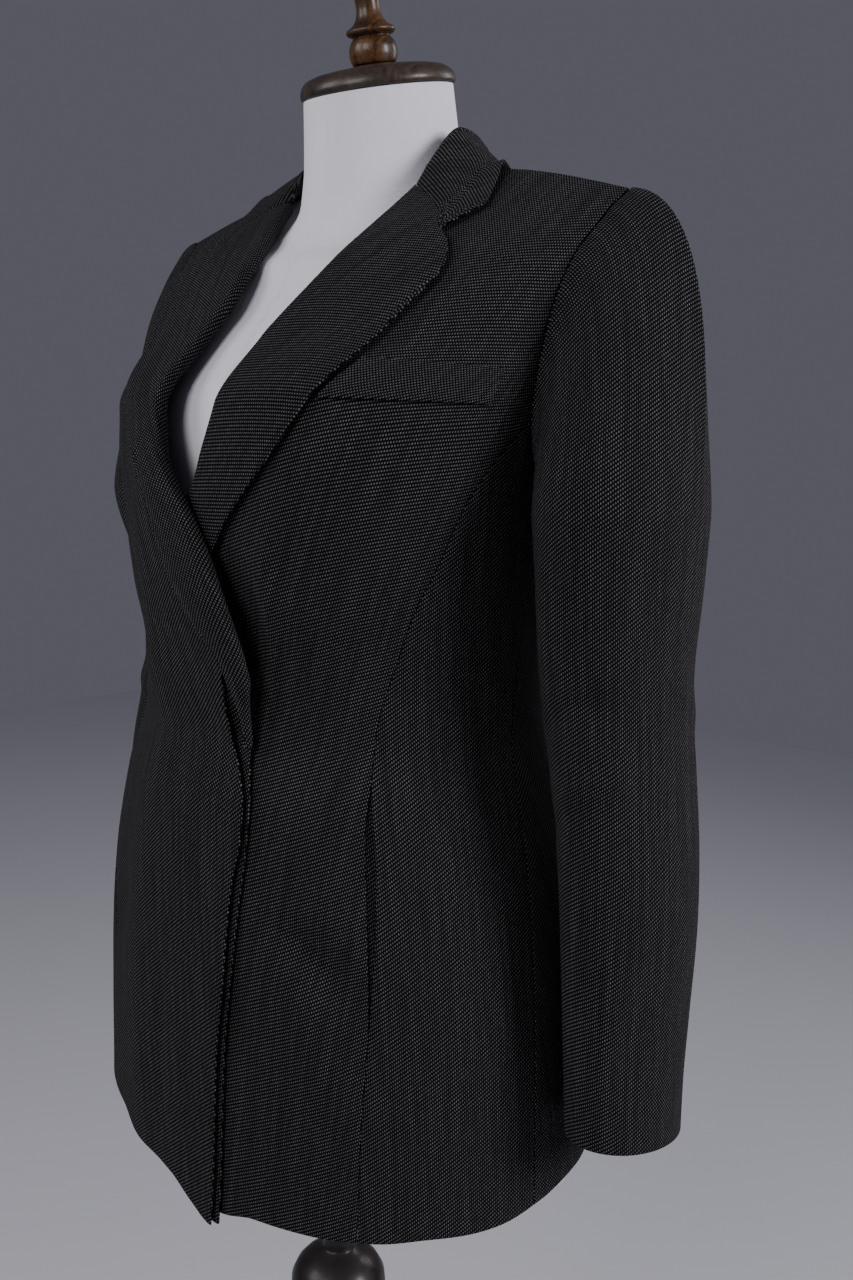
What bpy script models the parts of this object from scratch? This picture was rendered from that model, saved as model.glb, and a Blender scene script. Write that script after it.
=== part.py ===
"""A woman's wrap blazer with a concealed fly, worn by a limbless dress form on a turned stand.

Metres, +Z up. The wearer faces -Y and the wearer's left is +X. The origin is on the floor,
under the middle of the base. Heights in the tables are measured from the level of the hem.

Every cloth piece is a wall made on one torso surface. A place on that surface is an angle in
degrees (0 at the centre front, positive to the wearer's left, 180 at the centre back) and a
height. A wall's outer face is the surface moved out by a lift, and its inner face lies one
wall thickness further in.
"""

import math

import bmesh
import bpy
import numpy as np

# ---------------------------------------------------------------- driving dimensions
HEM_LEVEL = 0.66          # height of the hem above the floor
WALL = 0.002              # thickness of the cloth
SEAM_GAP = 0.0003         # between two pieces at a seam
CHEST_HEIGHT = 0.500      # above this height the torso closes towards the shoulder line
TOP_HEIGHT = 0.660        # the shoulder line and the back of the neckline
NECK_HALF_WIDTH = 0.080
NECK_MIDDLE_Y = 0.030
NECK_BACK_DEPTH = 0.066
NECK_FRONT_DEPTH = 0.050
NECK_BACK_DROP, NECK_FRONT_DROP = 0.014, 0.030    # of the neckline below the two neck points
SHOULDER_PEAK = 0.6825    # where the two shoulder lines would meet
SHOULDER_SLOPE = 0.245
RIDGE_FROM = 0.640        # from here up, walls turn to stand square to the shoulder line

TORSO_COLUMNS = ("height", "half_width", "front", "back", "square", "front_close", "back_close", "bust")
TORSO_LEVELS = (
    (-0.040, 0.203, 0.147, 0.147, 2.00, 0.00, 0.00, 0.000),
    (0.000, 0.200, 0.146, 0.146, 2.00, 0.00, 0.00, 0.000),
    (0.100, 0.195, 0.147, 0.140, 2.05, 0.00, 0.00, 0.000),
    (0.190, 0.182, 0.145, 0.128, 2.10, 0.00, 0.00, 0.000),
    (0.250, 0.166, 0.141, 0.115, 2.10, 0.00, 0.00, 0.000),
    (0.300, 0.152, 0.129, 0.106, 2.10, 0.00, 0.00, 0.000),
    (0.340, 0.151, 0.130, 0.104, 2.10, 0.00, 0.00, 0.001),
    (0.385, 0.153, 0.136, 0.107, 2.15, 0.00, 0.00, 0.006),
    (0.430, 0.157, 0.140, 0.114, 2.20, 0.00, 0.00, 0.010),
    (0.465, 0.161, 0.141, 0.120, 2.25, 0.00, 0.00, 0.012),
    (0.500, 0.167, 0.137, 0.124, 2.30, 0.00, 0.00, 0.009),
    (0.550, 0.176, 0.132, 0.126, 2.40, 0.22, 0.02, 0.004),
    (0.600, 0.188, 0.132, 0.124, 2.50, 0.50, 0.14, 0.000),
    (0.635, 0.197, 0.128, 0.120, 2.50, 0.78, 0.46, 0.000),
    (0.652, 0.201, 0.127, 0.118, 2.50, 0.93, 0.78, 0.000),
    (0.660, 0.203, 0.126, 0.117, 2.50, 1.00, 1.00, 0.000),
)
BUST_ANGLE, BUST_SPREAD = 34.0, 20.0
BUST_SIDE_ANGLE, BUST_SIDE_SPREAD, BUST_SIDE_SHARE = 55.0, 22.0, 0.25

# Seams and edges of the wearer's left half, as rows of (angle, height).
PRINCESS_SEAM = (
    (37.7, -0.016), (39.1, 0.079), (40.4, 0.123), (44.3, 0.274), (44.9, 0.289), (45.8, 0.308),
    (47.9, 0.326), (51.6, 0.352), (56.6, 0.385), (60.7, 0.405), (66.3, 0.439), (73.0, 0.466), (84.0, 0.496),
)
SIDE_SEAM = ((79.0, -0.002), (80.0, 0.100), (83.0, 0.200), (87.0, 0.300), (92.0, 0.400), (96.0, 0.455))
ARMHOLE_FRONT = (
    (84.0, 0.496), (82.6, 0.517), (79.6, 0.543), (76.6, 0.569), (73.6, 0.595),
    (71.6, 0.619), (71.6, 0.642), (74.4, 0.660),
)
ARMHOLE_UNDER = ((84.0, 0.496), (86.0, 0.478), (90.0, 0.462), (96.0, 0.455))
ARMHOLE_BACK = (
    (96.0, 0.455), (110.0, 0.462), (118.0, 0.482), (120.5, 0.512), (120.0, 0.550),
    (118.0, 0.590), (114.5, 0.622), (110.0, 0.645), (105.6, 0.660),
)
NECK_POINT_ANGLE = 18.2   # where the shoulder seam meets the neckline
NECK_FRONT_ANGLE = 12.2   # where the front's neckline meets the roll line

# The hem all round: (angle, height). The wearer's right front dips to its corner.
HEM_RIGHT_FRONT = (
    (-180.0, 0.010), (-96.0, 0.006), (-79.0, 0.001), (-45.0, 0.003), (-27.0, 0.002), (-17.0, -0.001),
    (-10.0, -0.003), (-4.0, -0.008), (2.0, -0.020), (8.0, -0.029), (15.0, -0.030),
)
HEM_LEFT = (
    (-20.0, 0.004), (-10.0, 0.001), (-4.0, -0.004), (2.0, -0.015), (8.0, -0.023),
    (16.0, -0.018), (27.0, -0.018), (42.0, -0.016),
    (69.0, -0.007), (80.0, -0.001), (96.0, 0.006), (180.0, 0.010),
)

# Edges of the two fronts below the roll, and the roll lines above it: (angle, height).
LEFT_FRONT_EDGE = ((-17.0, 0.003), (-17.0, 0.250), (-16.0, 0.325))
LEFT_ROLL = (
    (-16.0, 0.325), (-14.0, 0.347), (-10.0, 0.385), (-4.0, 0.427), (1.4, 0.457), (4.2, 0.492),
    (5.4, 0.517), (6.2, 0.5494), (7.4, 0.5634), (9.4, 0.587), (11.0, 0.614), (12.0, 0.642), (12.2, 0.660),
)
RIGHT_FRONT_EDGE = (
    (7.5, -0.030), (8.2, 0.0125), (9.2, 0.094), (10.5, 0.140), (11.5, 0.181), (12.8, 0.211),
    (14.6, 0.235), (15.0, 0.255), (12.9, 0.276), (9.9, 0.296), (8.8, 0.320), (9.6, 0.340), (10.6, 0.352),
)
FLY_EDGE = (
    (8.4, -0.030), (9.0, 0.0125), (10.0, 0.094), (11.2, 0.140), (13.0, 0.190), (15.0, 0.230),
    (15.6, 0.255), (14.2, 0.284), (14.0, 0.310), (14.4, 0.334),
)
RIGHT_ROLL = (
    (15.6, 0.334), (13.2, 0.364), (10.4, 0.389), (7.4, 0.411), (4.6, 0.426), (1.6, 0.442),
    (-1.6, 0.457), (-6.2, 0.480), (-8.8, 0.503), (-8.6, 0.520), (-7.0, 0.540), (-5.2, 0.560),
    (-4.8, 0.582), (-5.8, 0.610), (-8.4, 0.638), (-12.2, 0.660),
)
FLY_COLUMNS = 3           # how many of the front's columns the fly reaches in
FLY_GAP = 0.0006

# Outer edges of the lapels, from the roll's foot up to the notch, and the gorge above it.
LEFT_LAPEL_EDGE = (
    (-13.4, 0.331), (-8.0, 0.360), (-2.0, 0.387), (6.9, 0.417), (9.4, 0.428), (16.1, 0.451), (23.4, 0.475),
    (27.8, 0.499), (31.0, 0.516), (33.9, 0.535), (35.8, 0.557), (37.8, 0.578),
)
RIGHT_LAPEL_EDGE = (
    (13.4, 0.338), (8.0, 0.356), (1.5, 0.378), (-3.4, 0.404), (-6.1, 0.423), (-9.6, 0.449), (-14.0, 0.468),
    (-20.0, 0.484), (-25.5, 0.503), (-30.5, 0.528), (-34.5, 0.555), (-37.0, 0.578),
)
LAPEL_TOP = ((37.8, 0.578), (38.3, 0.585), (36.8, 0.594), (33.0, 0.601), (28.8, 0.608))
GORGE = ((28.8, 0.608), (19.8, 0.627), (12.2, 0.660))

# How far the wearer's right front lies out over the left one: (height, lift).
OVERLAP_LIFT = (
    (-0.040, 0.0062), (0.250, 0.0064), (0.300, 0.0082), (0.335, 0.0130), (0.400, 0.0132),
    (0.455, 0.0132), (0.490, 0.0060), (0.520, 0.0030), (0.560, 0.0010), (0.600, 0.0000), (0.660, 0.0000),
)
OVERLAP_FULL_ANGLE, OVERLAP_FADE_ANGLE = -13.0, -30.0

# Folds of the cloth: (side, angle, height, angle spread, height spread, slant, depth).
FOLD_COLUMNS = ("side", "angle", "height", "angle_spread", "height_spread", "slant", "depth")
FOLDS = (
    ("left", 12.0, 0.362, 7.5, 0.034, -60.0, -0.0070),
    ("left", 26.0, 0.372, 7.5, 0.040, -120.0, 0.0035),
    ("left", 33.0, 0.150, 7.0, 0.045, -160.0, -0.0030),
    ("left", 26.0, 0.120, 6.0, 0.050, -160.0, 0.0025),
    ("right", -24.0, 0.330, 7.0, 0.040, 100.0, 0.0030),
    ("right", -30.0, 0.470, 22.0, 0.075, 0.0, -0.0090),
    ("right", -34.0, 0.150, 7.0, 0.060, 120.0, -0.0030),
    ("back", 150.0, 0.300, 16.0, 0.016, 0.0, 0.0030),
    ("back", -150.0, 0.300, 16.0, 0.016, 0.0, 0.0030),
)

# Rows and columns of the walls' meshes. A row of every front lies at the foot of the roll.
ROLL_FOOT = 0.335
HIP_ROWS, BUST_ROWS, HIGH_ROWS = 9, 5, 8
SIDE_COLUMNS, SHOULDER_COLUMNS, NECK_COLUMNS, FRONT_NECK_COLUMNS = 4, 7, 3, 2

# Sleeve sections below the armhole: centre, half widths across and front to back.
SLEEVE_COLUMNS = ("height", "centre_x", "centre_y", "half_across", "half_deep")
SLEEVE_LEVELS = (
    (0.440, 0.2095, 0.017, 0.0485, 0.0670),
    (0.400, 0.2110, 0.018, 0.0460, 0.0640),
    (0.360, 0.2125, 0.019, 0.0435, 0.0610),
    (0.320, 0.2150, 0.021, 0.0415, 0.0590),
    (0.280, 0.2190, 0.023, 0.0405, 0.0575),
    (0.230, 0.2235, 0.022, 0.0395, 0.0565),
    (0.180, 0.2270, 0.020, 0.0380, 0.0550),
    (0.120, 0.2305, 0.017, 0.0350, 0.0515),
    (0.080, 0.2330, 0.015, 0.0332, 0.0490),
    (0.0495, 0.2345, 0.014, 0.0325, 0.0480),
)
# The wearer's right sleeve hangs closer in and further back: (height, in, back).
RIGHT_SLEEVE_SHIFT = (
    (0.040, 0.005, 0.013), (0.120, 0.005, 0.014), (0.230, 0.005, 0.020), (0.310, 0.008, 0.026),
    (0.360, 0.008, 0.028), (0.440, 0.000, 0.015), (0.520, 0.002, 0.015), (0.660, 0.008, 0.022),
)
CAP_UNDER_HEIGHT, CAP_UNDER_SPAN = 0.490, 0.030    # below it the sleeve doubles back at its seam
SLEEVE_SEAM_GAP = 0.0003      # by which each piece stands back from the sleeve's seams
ARMHOLE_GAP = 0.0008          # each sleeve's top edge stands this far out of its armhole
SLEEVE_CAP_ROWS = 6
SLEEVE_HEAD_FULLNESS = 0.76   # how strongly the sleeve head swells out before it falls
SLEEVE_HEAD_RISE = 0.009      # how strongly it rises first at the shoulder end
CAP_FLARE = 0.35              # how far it leans the way the body's surface faces
CAP_UNDER_SHARE = 0.3         # of the fullness, at the underarm
CAP_FALL = 1.15               # how straight it falls at the foot of the cap
CUFF_SLANT = 0.006            # the cuff hangs lower at the back by this much
HIND_SEAM_ANGLE = -30.0       # round the sleeve: 0 outermost, 90 front, 180 inner side
FRONT_SEAM_ANGLE = 165.0

# Lapel sections. Distances across from the roll line, heights above the front.
ROLL_RADIUS = 0.0042
ROLL_CENTRE_IN = 0.0035
ROLL_CENTRE_UP = 0.0002
ROLL_TUCK = 0.0020
LAPEL_LIE = 0.0048            # of the lapel's middle plane above the front
LAPEL_BELLY = 0.0012          # how far it bows up between roll and edge
FRONT_PULL_BACK = 0.0027      # the front's edge stops short of the turned roll
LAPEL_SHARES = (0.2, 0.4, 0.6, 0.8, 1.0)
LAPEL_ROWS = BUST_ROWS + HIGH_ROWS + 1
LAPEL_NOTCH_ROW = 10          # the row that ends at the lapel's point

# Collar: places of its neck seam, its roll and its outer edge from the gorge to the centre back.
COLLAR_COLUMNS = ("share", "seam_x", "seam_y", "seam_z", "roll_x", "roll_y", "roll_z",
                  "edge_x", "edge_y", "edge_z")
COLLAR_SECTIONS = (
    (0.00, 0.0590, 0.0000, 0.6465, 0.0590, 0.0000, 0.6520, 0.1207, -0.0112, 0.6275),
    (0.14, 0.0665, 0.0090, 0.6520, 0.0630, 0.0080, 0.6690, 0.1146, 0.0076, 0.6450),
    (0.28, 0.0730, 0.0260, 0.6610, 0.0660, 0.0270, 0.6870, 0.1070, 0.0260, 0.6605),
    (0.52, 0.0660, 0.0550, 0.6600, 0.0600, 0.0560, 0.6860, 0.0860, 0.0730, 0.6490),
    (0.76, 0.0410, 0.0815, 0.6530, 0.0385, 0.0800, 0.6840, 0.0520, 0.0985, 0.6430),
    (1.00, 0.0000, 0.0920, 0.6510, 0.0000, 0.0900, 0.6830, 0.0000, 0.1090, 0.6380),
)
COLLAR_END_GAP = 0.0005       # between the collar's ends and the lapels' at the gorge
COLLAR_HALF_COLUMNS = 11
COLLAR_ROLL_RADIUS = 0.0034

# Chest welt on the wearer's left front, and the hip pockets in the princess seams.
WELT_FROM, WELT_FROM_TOP, WELT_TO = 29.8, 34.2, 70.0
WELT_BOTTOM, WELT_TOP = 0.5045, 0.5285
WELT_WALL, WELT_GAP = 0.0016, 0.0008
POCKET_MOUTH = (
    (0.123, 0.0), (0.150, 0.0011), (0.190, 0.0022), (0.228, 0.0032), (0.250, 0.0020), (0.274, 0.0),
)
POCKET_BACK_ROWS = (3, 9)     # rows of the seam that it runs between
POCKET_BACK_REACH = 0.45      # of the way to the next column of the panels it lies behind
POCKET_BACK_GAP = 0.0006

# Dress form.
FORM_COLUMNS = ("height", "half_width", "front", "back", "middle_y", "square", "wing", "wing_depth")
FORM_LEVELS = (
    (-0.018, 0.186, 0.126, 0.130, 0.000, 2.00, 0.000, 0.000),
    (-0.012, 0.193, 0.132, 0.137, 0.000, 2.00, 0.000, 0.000),
    (0.000, 0.195, 0.134, 0.139, 0.000, 2.00, 0.000, 0.000),
    (0.060, 0.193, 0.135, 0.137, 0.000, 2.00, 0.000, 0.000),
    (0.120, 0.187, 0.135, 0.131, 0.000, 2.00, 0.000, 0.000),
    (0.190, 0.175, 0.131, 0.120, 0.000, 2.05, 0.000, 0.000),
    (0.250, 0.158, 0.122, 0.107, 0.000, 2.05, 0.000, 0.000),
    (0.300, 0.144, 0.111, 0.098, 0.000, 2.05, 0.000, 0.000),
    (0.340, 0.142, 0.110, 0.096, 0.000, 2.05, 0.000, 0.000),
    (0.385, 0.145, 0.118, 0.099, 0.000, 2.10, 0.000, 0.000),
    (0.430, 0.149, 0.124, 0.106, 0.000, 2.15, 0.000, 0.000),
    (0.465, 0.153, 0.124, 0.112, 0.000, 2.20, 0.000, 0.000),
    (0.500, 0.158, 0.119, 0.115, 0.000, 2.20, 0.000, 0.000),
    (0.540, 0.168, 0.099, 0.114, 0.004, 2.20, 0.100, 0.060),
    (0.570, 0.168, 0.083, 0.105, 0.012, 2.20, 0.120, 0.060),
    (0.595, 0.140, 0.072, 0.094, 0.022, 2.10, 0.172, 0.070),
    (0.613, 0.092, 0.063, 0.078, 0.030, 2.00, 0.172, 0.050),
    (0.627, 0.066, 0.058, 0.066, 0.030, 2.00, 0.168, 0.036),
    (0.636, 0.061, 0.056, 0.060, 0.030, 2.00, 0.162, 0.026),
    (0.644, 0.059, 0.055, 0.058, 0.030, 2.00, 0.1445, 0.014),
    (0.650, 0.058, 0.055, 0.057, 0.030, 2.00, 0.1200, 0.0085),
    (0.6555, 0.057, 0.055, 0.056, 0.030, 2.00, 0.0900, 0.0045),
    (0.660, 0.056, 0.055, 0.055, 0.030, 2.00, 0.0500, 0.0040),
    (0.675, 0.0555, 0.054, 0.054, 0.029, 2.00, 0.000, 0.000),
    (0.695, 0.0535, 0.0525, 0.0525, 0.026, 2.00, 0.000, 0.000),
)
FORM_BLEND = 8                # how sharply the neck and the shoulders run into each other
FORM_COLUMNS_ROUND = 32
FORM_NECK_RADIUS = 0.0515
FORM_NECK_TOP_HEIGHT, FORM_NECK_TOP_Y = 0.7165, 0.0225
NECK_TILT = 13.0              # degrees, the neck cap leans to the front

# Turned wood. Profiles are rows of (radius, height), from the top down the outer side.
CAP_PROFILE = (
    (0.0000, 0.0105), (0.0200, 0.0105), (0.0215, 0.0090), (0.0440, 0.0075), (0.0510, 0.0060),
    (0.0535, 0.0035), (0.0535, 0.0010), (0.0515, -0.0008), (0.0480, -0.0010), (0.0000, -0.0010),
)
FINIAL_PROFILE = (
    (0.0000, 0.0700), (0.0060, 0.0690), (0.0100, 0.0655), (0.0115, 0.0610), (0.0106, 0.0560),
    (0.0095, 0.0510), (0.0086, 0.0450), (0.0079, 0.0390), (0.0082, 0.0350), (0.0096, 0.0305),
    (0.0124, 0.0270), (0.0158, 0.0250), (0.0168, 0.0238), (0.0166, 0.0218), (0.0152, 0.0206),
    (0.0122, 0.0198), (0.0140, 0.0182), (0.0160, 0.0145), (0.0167, 0.0100), (0.0160, 0.0055),
    (0.0138, 0.0016), (0.0122, 0.0000), (0.0000, 0.0000),
)
POST_RADIUS = 0.0110
BULB_RADIUS, BULB_HEIGHT = 0.0370, 0.0600
BULB_TOP = -0.132             # from the hem level
BULB_NECK = 0.001             # the straight post runs this far into the bulb's top
COLUMN_RADIUS = 0.0170
COLUMN_NECK = 0.006           # from the bulb down to the column
COLUMN_FOOT = ((0.0187, 0.100), (0.0255, 0.030), (0.0357, 0.008), (0.0357, 0.000))   # radius, above the base
BASE_RADIUS, BASE_THICKNESS = 0.180, 0.026
BASE_ROUND, BASE_CHAMFER, BASE_MIDDLE = 0.012, 0.003, 0.051
TURNED_STEPS, BASE_STEPS = 20, 32

CLOTH_COLOUR = (0.016, 0.015, 0.018, 1.0)
FORM_COLOUR = (0.58, 0.56, 0.62, 1.0)
WOOD_COLOUR = (0.060, 0.032, 0.018, 1.0)


# ---------------------------------------------------------------- curves and the torso surface
def smooth_curve(knots, values, at):
    """Monotone cubic through the knots, which keeps each table's highs and lows where they are."""
    knots, values, at = (np.asarray(v, float) for v in (knots, values, at))
    step = np.diff(knots)
    slope = np.diff(values) / step
    tangent = np.empty_like(values)
    tangent[0], tangent[-1] = slope[0], slope[-1]
    before, after = slope[:-1], slope[1:]
    same = before * after > 0
    safe_before = np.where(same, before, 1.0)
    safe_after = np.where(same, after, 1.0)
    w1, w2 = 2 * step[1:] + step[:-1], step[1:] + 2 * step[:-1]
    tangent[1:-1] = np.where(same, (w1 + w2) / (w1 / safe_before + w2 / safe_after), 0.0)
    i = np.clip(np.searchsorted(knots, at) - 1, 0, len(knots) - 2)
    t = np.clip((at - knots[i]) / step[i], 0.0, 1.0)
    return (
        (1 + 2 * t) * (1 - t) ** 2 * values[i]
        + t * (1 - t) ** 2 * step[i] * tangent[i]
        + t * t * (3 - 2 * t) * values[i + 1]
        + t * t * (t - 1) * step[i] * tangent[i + 1]
    )


def table_at(rows, columns, at):
    """Every column but the first of a table, at the given values of the first, by name."""
    table = np.array(sorted(rows))
    return {name: smooth_curve(table[:, 0], table[:, k], at) for k, name in enumerate(columns) if k}


def shoulder_height(x):
    return SHOULDER_PEAK - SHOULDER_SLOPE * np.abs(x)


def top_line(x, back):
    """Depth and height of the shoulder line, and of the neckline between the two neck points."""
    inside = np.sqrt(np.clip(1 - (np.abs(x) / NECK_HALF_WIDTH) ** 2, 0, 1))
    y = NECK_MIDDLE_Y + np.where(back, NECK_BACK_DEPTH, -NECK_FRONT_DEPTH) * inside
    drop = np.where(back, NECK_BACK_DROP, NECK_FRONT_DROP) * inside
    return y, shoulder_height(np.maximum(np.abs(x), NECK_HALF_WIDTH)) - drop


def torso(angle, height):
    """Points of the torso surface, which is the jacket's outer face where nothing lies on it."""
    angle, height = np.broadcast_arrays(np.asarray(angle, float), np.asarray(height, float))
    level = table_at(TORSO_LEVELS, TORSO_COLUMNS, height)
    turn = np.radians(angle)
    sine, cosine = np.sin(turn), np.cos(turn)
    power = 2 / level["square"]
    back = cosine < 0
    away = np.abs(angle)
    bulge = level["bust"] * np.exp(-(((away - BUST_ANGLE) / BUST_SPREAD) ** 2))
    side = level["bust"] * BUST_SIDE_SHARE * np.exp(-(((away - BUST_SIDE_ANGLE) / BUST_SIDE_SPREAD) ** 2))
    x = np.sign(sine) * (level["half_width"] * np.abs(sine) ** power + side)
    y = np.where(back, level["back"], -level["front"]) * np.abs(cosine) ** power - np.where(back, 0, bulge)
    share = np.clip((height - CHEST_HEIGHT) / (TOP_HEIGHT - CHEST_HEIGHT), 0, 1)
    close = np.where(share > 0, np.where(back, level["back_close"], level["front_close"]), 0)
    top_y, top_z = top_line(x, back)
    y = y + (top_y - y) * close
    z = np.where(share > 0, CHEST_HEIGHT + (top_z - CHEST_HEIGHT) * share, height)
    return np.stack([x, y, z], -1)


def unit(vectors):
    return vectors / np.maximum(np.linalg.norm(vectors, axis=-1, keepdims=True), 1e-12)


def torso_normal(angle, height):
    """Outward directions, which front and back share where they meet on the shoulder line."""
    angle, height = np.broadcast_arrays(np.asarray(angle, float), np.asarray(height, float))
    step_angle, step_height = 0.06, 0.001
    level = np.clip(height, -0.039, TOP_HEIGHT - 1.5 * step_height)
    across = torso(angle + step_angle, level) - torso(angle - step_angle, level)
    up = torso(angle, level + step_height) - torso(angle, level - step_height)
    own = unit(np.cross(across, up))
    ridge = np.stack([np.sign(angle) * SHOULDER_SLOPE, 0 * angle, 1 + 0 * angle], -1)
    from_middle = np.minimum(np.abs(angle), 180 - np.abs(angle))
    share = np.clip((height - RIDGE_FROM) / (TOP_HEIGHT - RIDGE_FROM), 0, 1)
    share = share * np.clip(from_middle / NECK_POINT_ANGLE * 2 - 1, 0, 1)
    return unit(own + (unit(ridge) - own) * share[..., None])


def fold_lift(side, angle, height):
    """The soft ridges and troughs of one side's cloth."""
    lift = np.zeros(np.broadcast(angle, height).shape)
    for row in FOLDS:
        fold = dict(zip(FOLD_COLUMNS, row))
        if fold["side"] != side:
            continue
        across = (angle - fold["angle"] - fold["slant"] * (height - fold["height"])) / fold["angle_spread"]
        along = (height - fold["height"]) / fold["height_spread"]
        lift = lift + fold["depth"] * np.exp(-(across**2) - along**2)
    return lift


def overlap_lift(angle, height):
    """The wearer's right front rises where the left front and its lapel lie under it."""
    rows = np.array(OVERLAP_LIFT)
    full = smooth_curve(rows[:, 0], rows[:, 1], height)
    share = np.clip((angle - OVERLAP_FADE_ANGLE) / (OVERLAP_FULL_ANGLE - OVERLAP_FADE_ANGLE), 0, 1)
    return full * share * share * (3 - 2 * share)


def cloth_lift(side, angle, height):
    lift = fold_lift(side, angle, height)
    if side == "right":
        lift = lift + overlap_lift(angle, height)
    return lift


def on_cloth(side, places, above=0.0):
    """Points above a side's outer face; places is an array of (angle, height)."""
    angle, height = places[..., 0], places[..., 1]
    lift = cloth_lift(side, angle, height) + above
    return torso(angle, height) + torso_normal(angle, height) * np.asarray(lift)[..., None]


# ---------------------------------------------------------------- seams
def along(rows, count, by_height=True):
    """count + 1 places evenly spread on a seam's table, which is read as one smooth line."""
    table = np.array(rows, float)
    if by_height:
        key = table[:, 1]
    else:
        scale = np.array([0.003, 1.0])
        key = np.concatenate([[0], np.cumsum(np.linalg.norm(np.diff(table, axis=0) * scale, axis=1))])
    at = np.linspace(key[0], key[-1], count + 1)
    flip = 1 if key[-1] > key[0] else -1
    order = slice(None, None, flip)
    return np.stack([smooth_curve(key[order], table[order, k], at) for k in (0, 1)], -1)


def from_hem(seam, hem):
    """A seam's rows with its lowest place put on the hem."""
    rows = [list(row) for row in seam]
    low = np.array(hem)
    rows[0][1] = float(smooth_curve(low[:, 0], low[:, 1], rows[0][0]))
    return [tuple(row) for row in rows]


def mirrored(rows):
    return [(-angle, height) for angle, height in rows]


def hem_places(hem, start, end, count):
    table = np.array(hem)
    angle = np.linspace(start, end, count + 1)
    return np.stack([angle, smooth_curve(table[:, 0], table[:, 1], angle)], -1)


def joined(*paths):
    """Paths end to end, each shared place once."""
    return np.concatenate([paths[0]] + [path[1:] for path in paths[1:]])


def patch(left, right, bottom, top):
    """A Coons patch over four edges: places[row, column], from bottom to top and left to right."""
    t = np.linspace(0, 1, len(left))[:, None, None]
    s = np.linspace(0, 1, len(bottom))[None, :, None]
    sides = (1 - s) * left[:, None] + s * right[:, None]
    ends = (1 - t) * bottom[None] + t * top[None]
    corners = (
        (1 - s) * (1 - t) * bottom[0] + s * (1 - t) * bottom[-1] + (1 - s) * t * top[0] + s * t * top[-1]
    )
    return sides + ends - corners


# ---------------------------------------------------------------- meshes
def new_object(name, mesh, colour, roughness, smooth=True):
    material = bpy.data.materials.get(name) or bpy.data.materials.new(name)
    material.use_nodes = True
    shader = material.node_tree.nodes["Principled BSDF"]
    shader.inputs["Base Color"].default_value = colour
    shader.inputs["Roughness"].default_value = roughness
    shader.inputs["Metallic"].default_value = 0.0
    mesh.materials.append(material)
    if smooth:
        mesh.shade_smooth()
    obj = bpy.data.objects.new(name, mesh)
    bpy.data.collections[COLLECTION].objects.link(obj)
    return obj


def mesh_from(name, points, faces):
    mesh = bpy.data.meshes.new(name)
    mesh.from_pydata([tuple(p) for p in points], [], [tuple(int(i) for i in f) for f in faces])
    work = bmesh.new()
    work.from_mesh(mesh)
    bmesh.ops.remove_doubles(work, verts=work.verts, dist=1e-6)
    bmesh.ops.recalc_face_normals(work, faces=work.faces)
    work.to_mesh(mesh)
    work.free()
    return mesh


def grid_faces(rows, columns, start, flip, wrap=False):
    faces = []
    for i in range(rows - 1):
        for j in range(columns if wrap else columns - 1):
            k = (j + 1) % columns
            face = [start + i * columns + j, start + i * columns + k,
                    start + (i + 1) * columns + k, start + (i + 1) * columns + j]
            faces.append(face[::-1] if flip else face)
    return faces


def wall(name, outer, inner):
    """A cloth wall between two matching grids of points, closed all round its edge."""
    rows, columns = outer.shape[:2]
    half = rows * columns
    faces = grid_faces(rows, columns, 0, False) + grid_faces(rows, columns, half, True)
    ring = (
        [j for j in range(columns)]
        + [i * columns + columns - 1 for i in range(1, rows)]
        + [(rows - 1) * columns + j for j in range(columns - 2, -1, -1)]
        + [i * columns for i in range(rows - 2, 0, -1)]
    )
    for a, b in zip(ring, ring[1:] + ring[:1]):
        faces.append([b, a, a + half, b + half])
    points = np.concatenate([outer.reshape(-1, 3), inner.reshape(-1, 3)])
    points = points + np.array([0, 0, HEM_LEVEL])
    return new_object(name, mesh_from(name, points, faces), CLOTH_COLOUR, 0.85)


def pulled_in(grid, gap=SEAM_GAP / 2, edges="lrbt"):
    """Moves a grid's edges in, so that two pieces that share a seam stand apart."""
    out = grid.copy()
    if "l" in edges:
        out[:, 0] += unit(grid[:, 1] - grid[:, 0]) * gap
    if "r" in edges:
        out[:, -1] += unit(grid[:, -2] - grid[:, -1]) * gap
    if "b" in edges:
        out[0] += unit(grid[1] - grid[0]) * gap
    if "t" in edges:
        out[-1] += unit(grid[-2] - grid[-1]) * gap
    return out


def panel(name, side, places, above=0.0):
    """A panel that follows the torso: its wall's outer face stands above the side's cloth."""
    outer = on_cloth(side, places, above)
    inner = on_cloth(side, places, above - WALL)
    return wall(name, pulled_in(outer), pulled_in(inner))


def shift_across(places, column, distance):
    """Moves one edge column of a patch across the cloth by a distance in metres for each row."""
    step = 1 if column == 0 else -1
    here, nextdoor = places[:, column], places[:, column + step]
    span = np.linalg.norm(torso(nextdoor[:, 0], nextdoor[:, 1]) - torso(here[:, 0], here[:, 1]), axis=-1)
    share = np.clip(np.asarray(distance) / span, -0.9, 0.9)[:, None]
    places[:, column] = here + (nextdoor - here) * share
    return places


# ---------------------------------------------------------------- jacket body
def shoulder_angles():
    """Angles of the shoulder seam's places, from the sleeve to the neck point."""
    return np.linspace(ARMHOLE_FRONT[-1][0], NECK_POINT_ANGLE, SHOULDER_COLUMNS + 1)


def row_shares():
    """Shares of the way up a front from its hem to the roll's foot, and on to the armhole."""
    return np.concatenate([np.linspace(0, 1, HIP_ROWS + 1), 1 + np.linspace(0, 1, BUST_ROWS + 1)[1:]])


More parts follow.
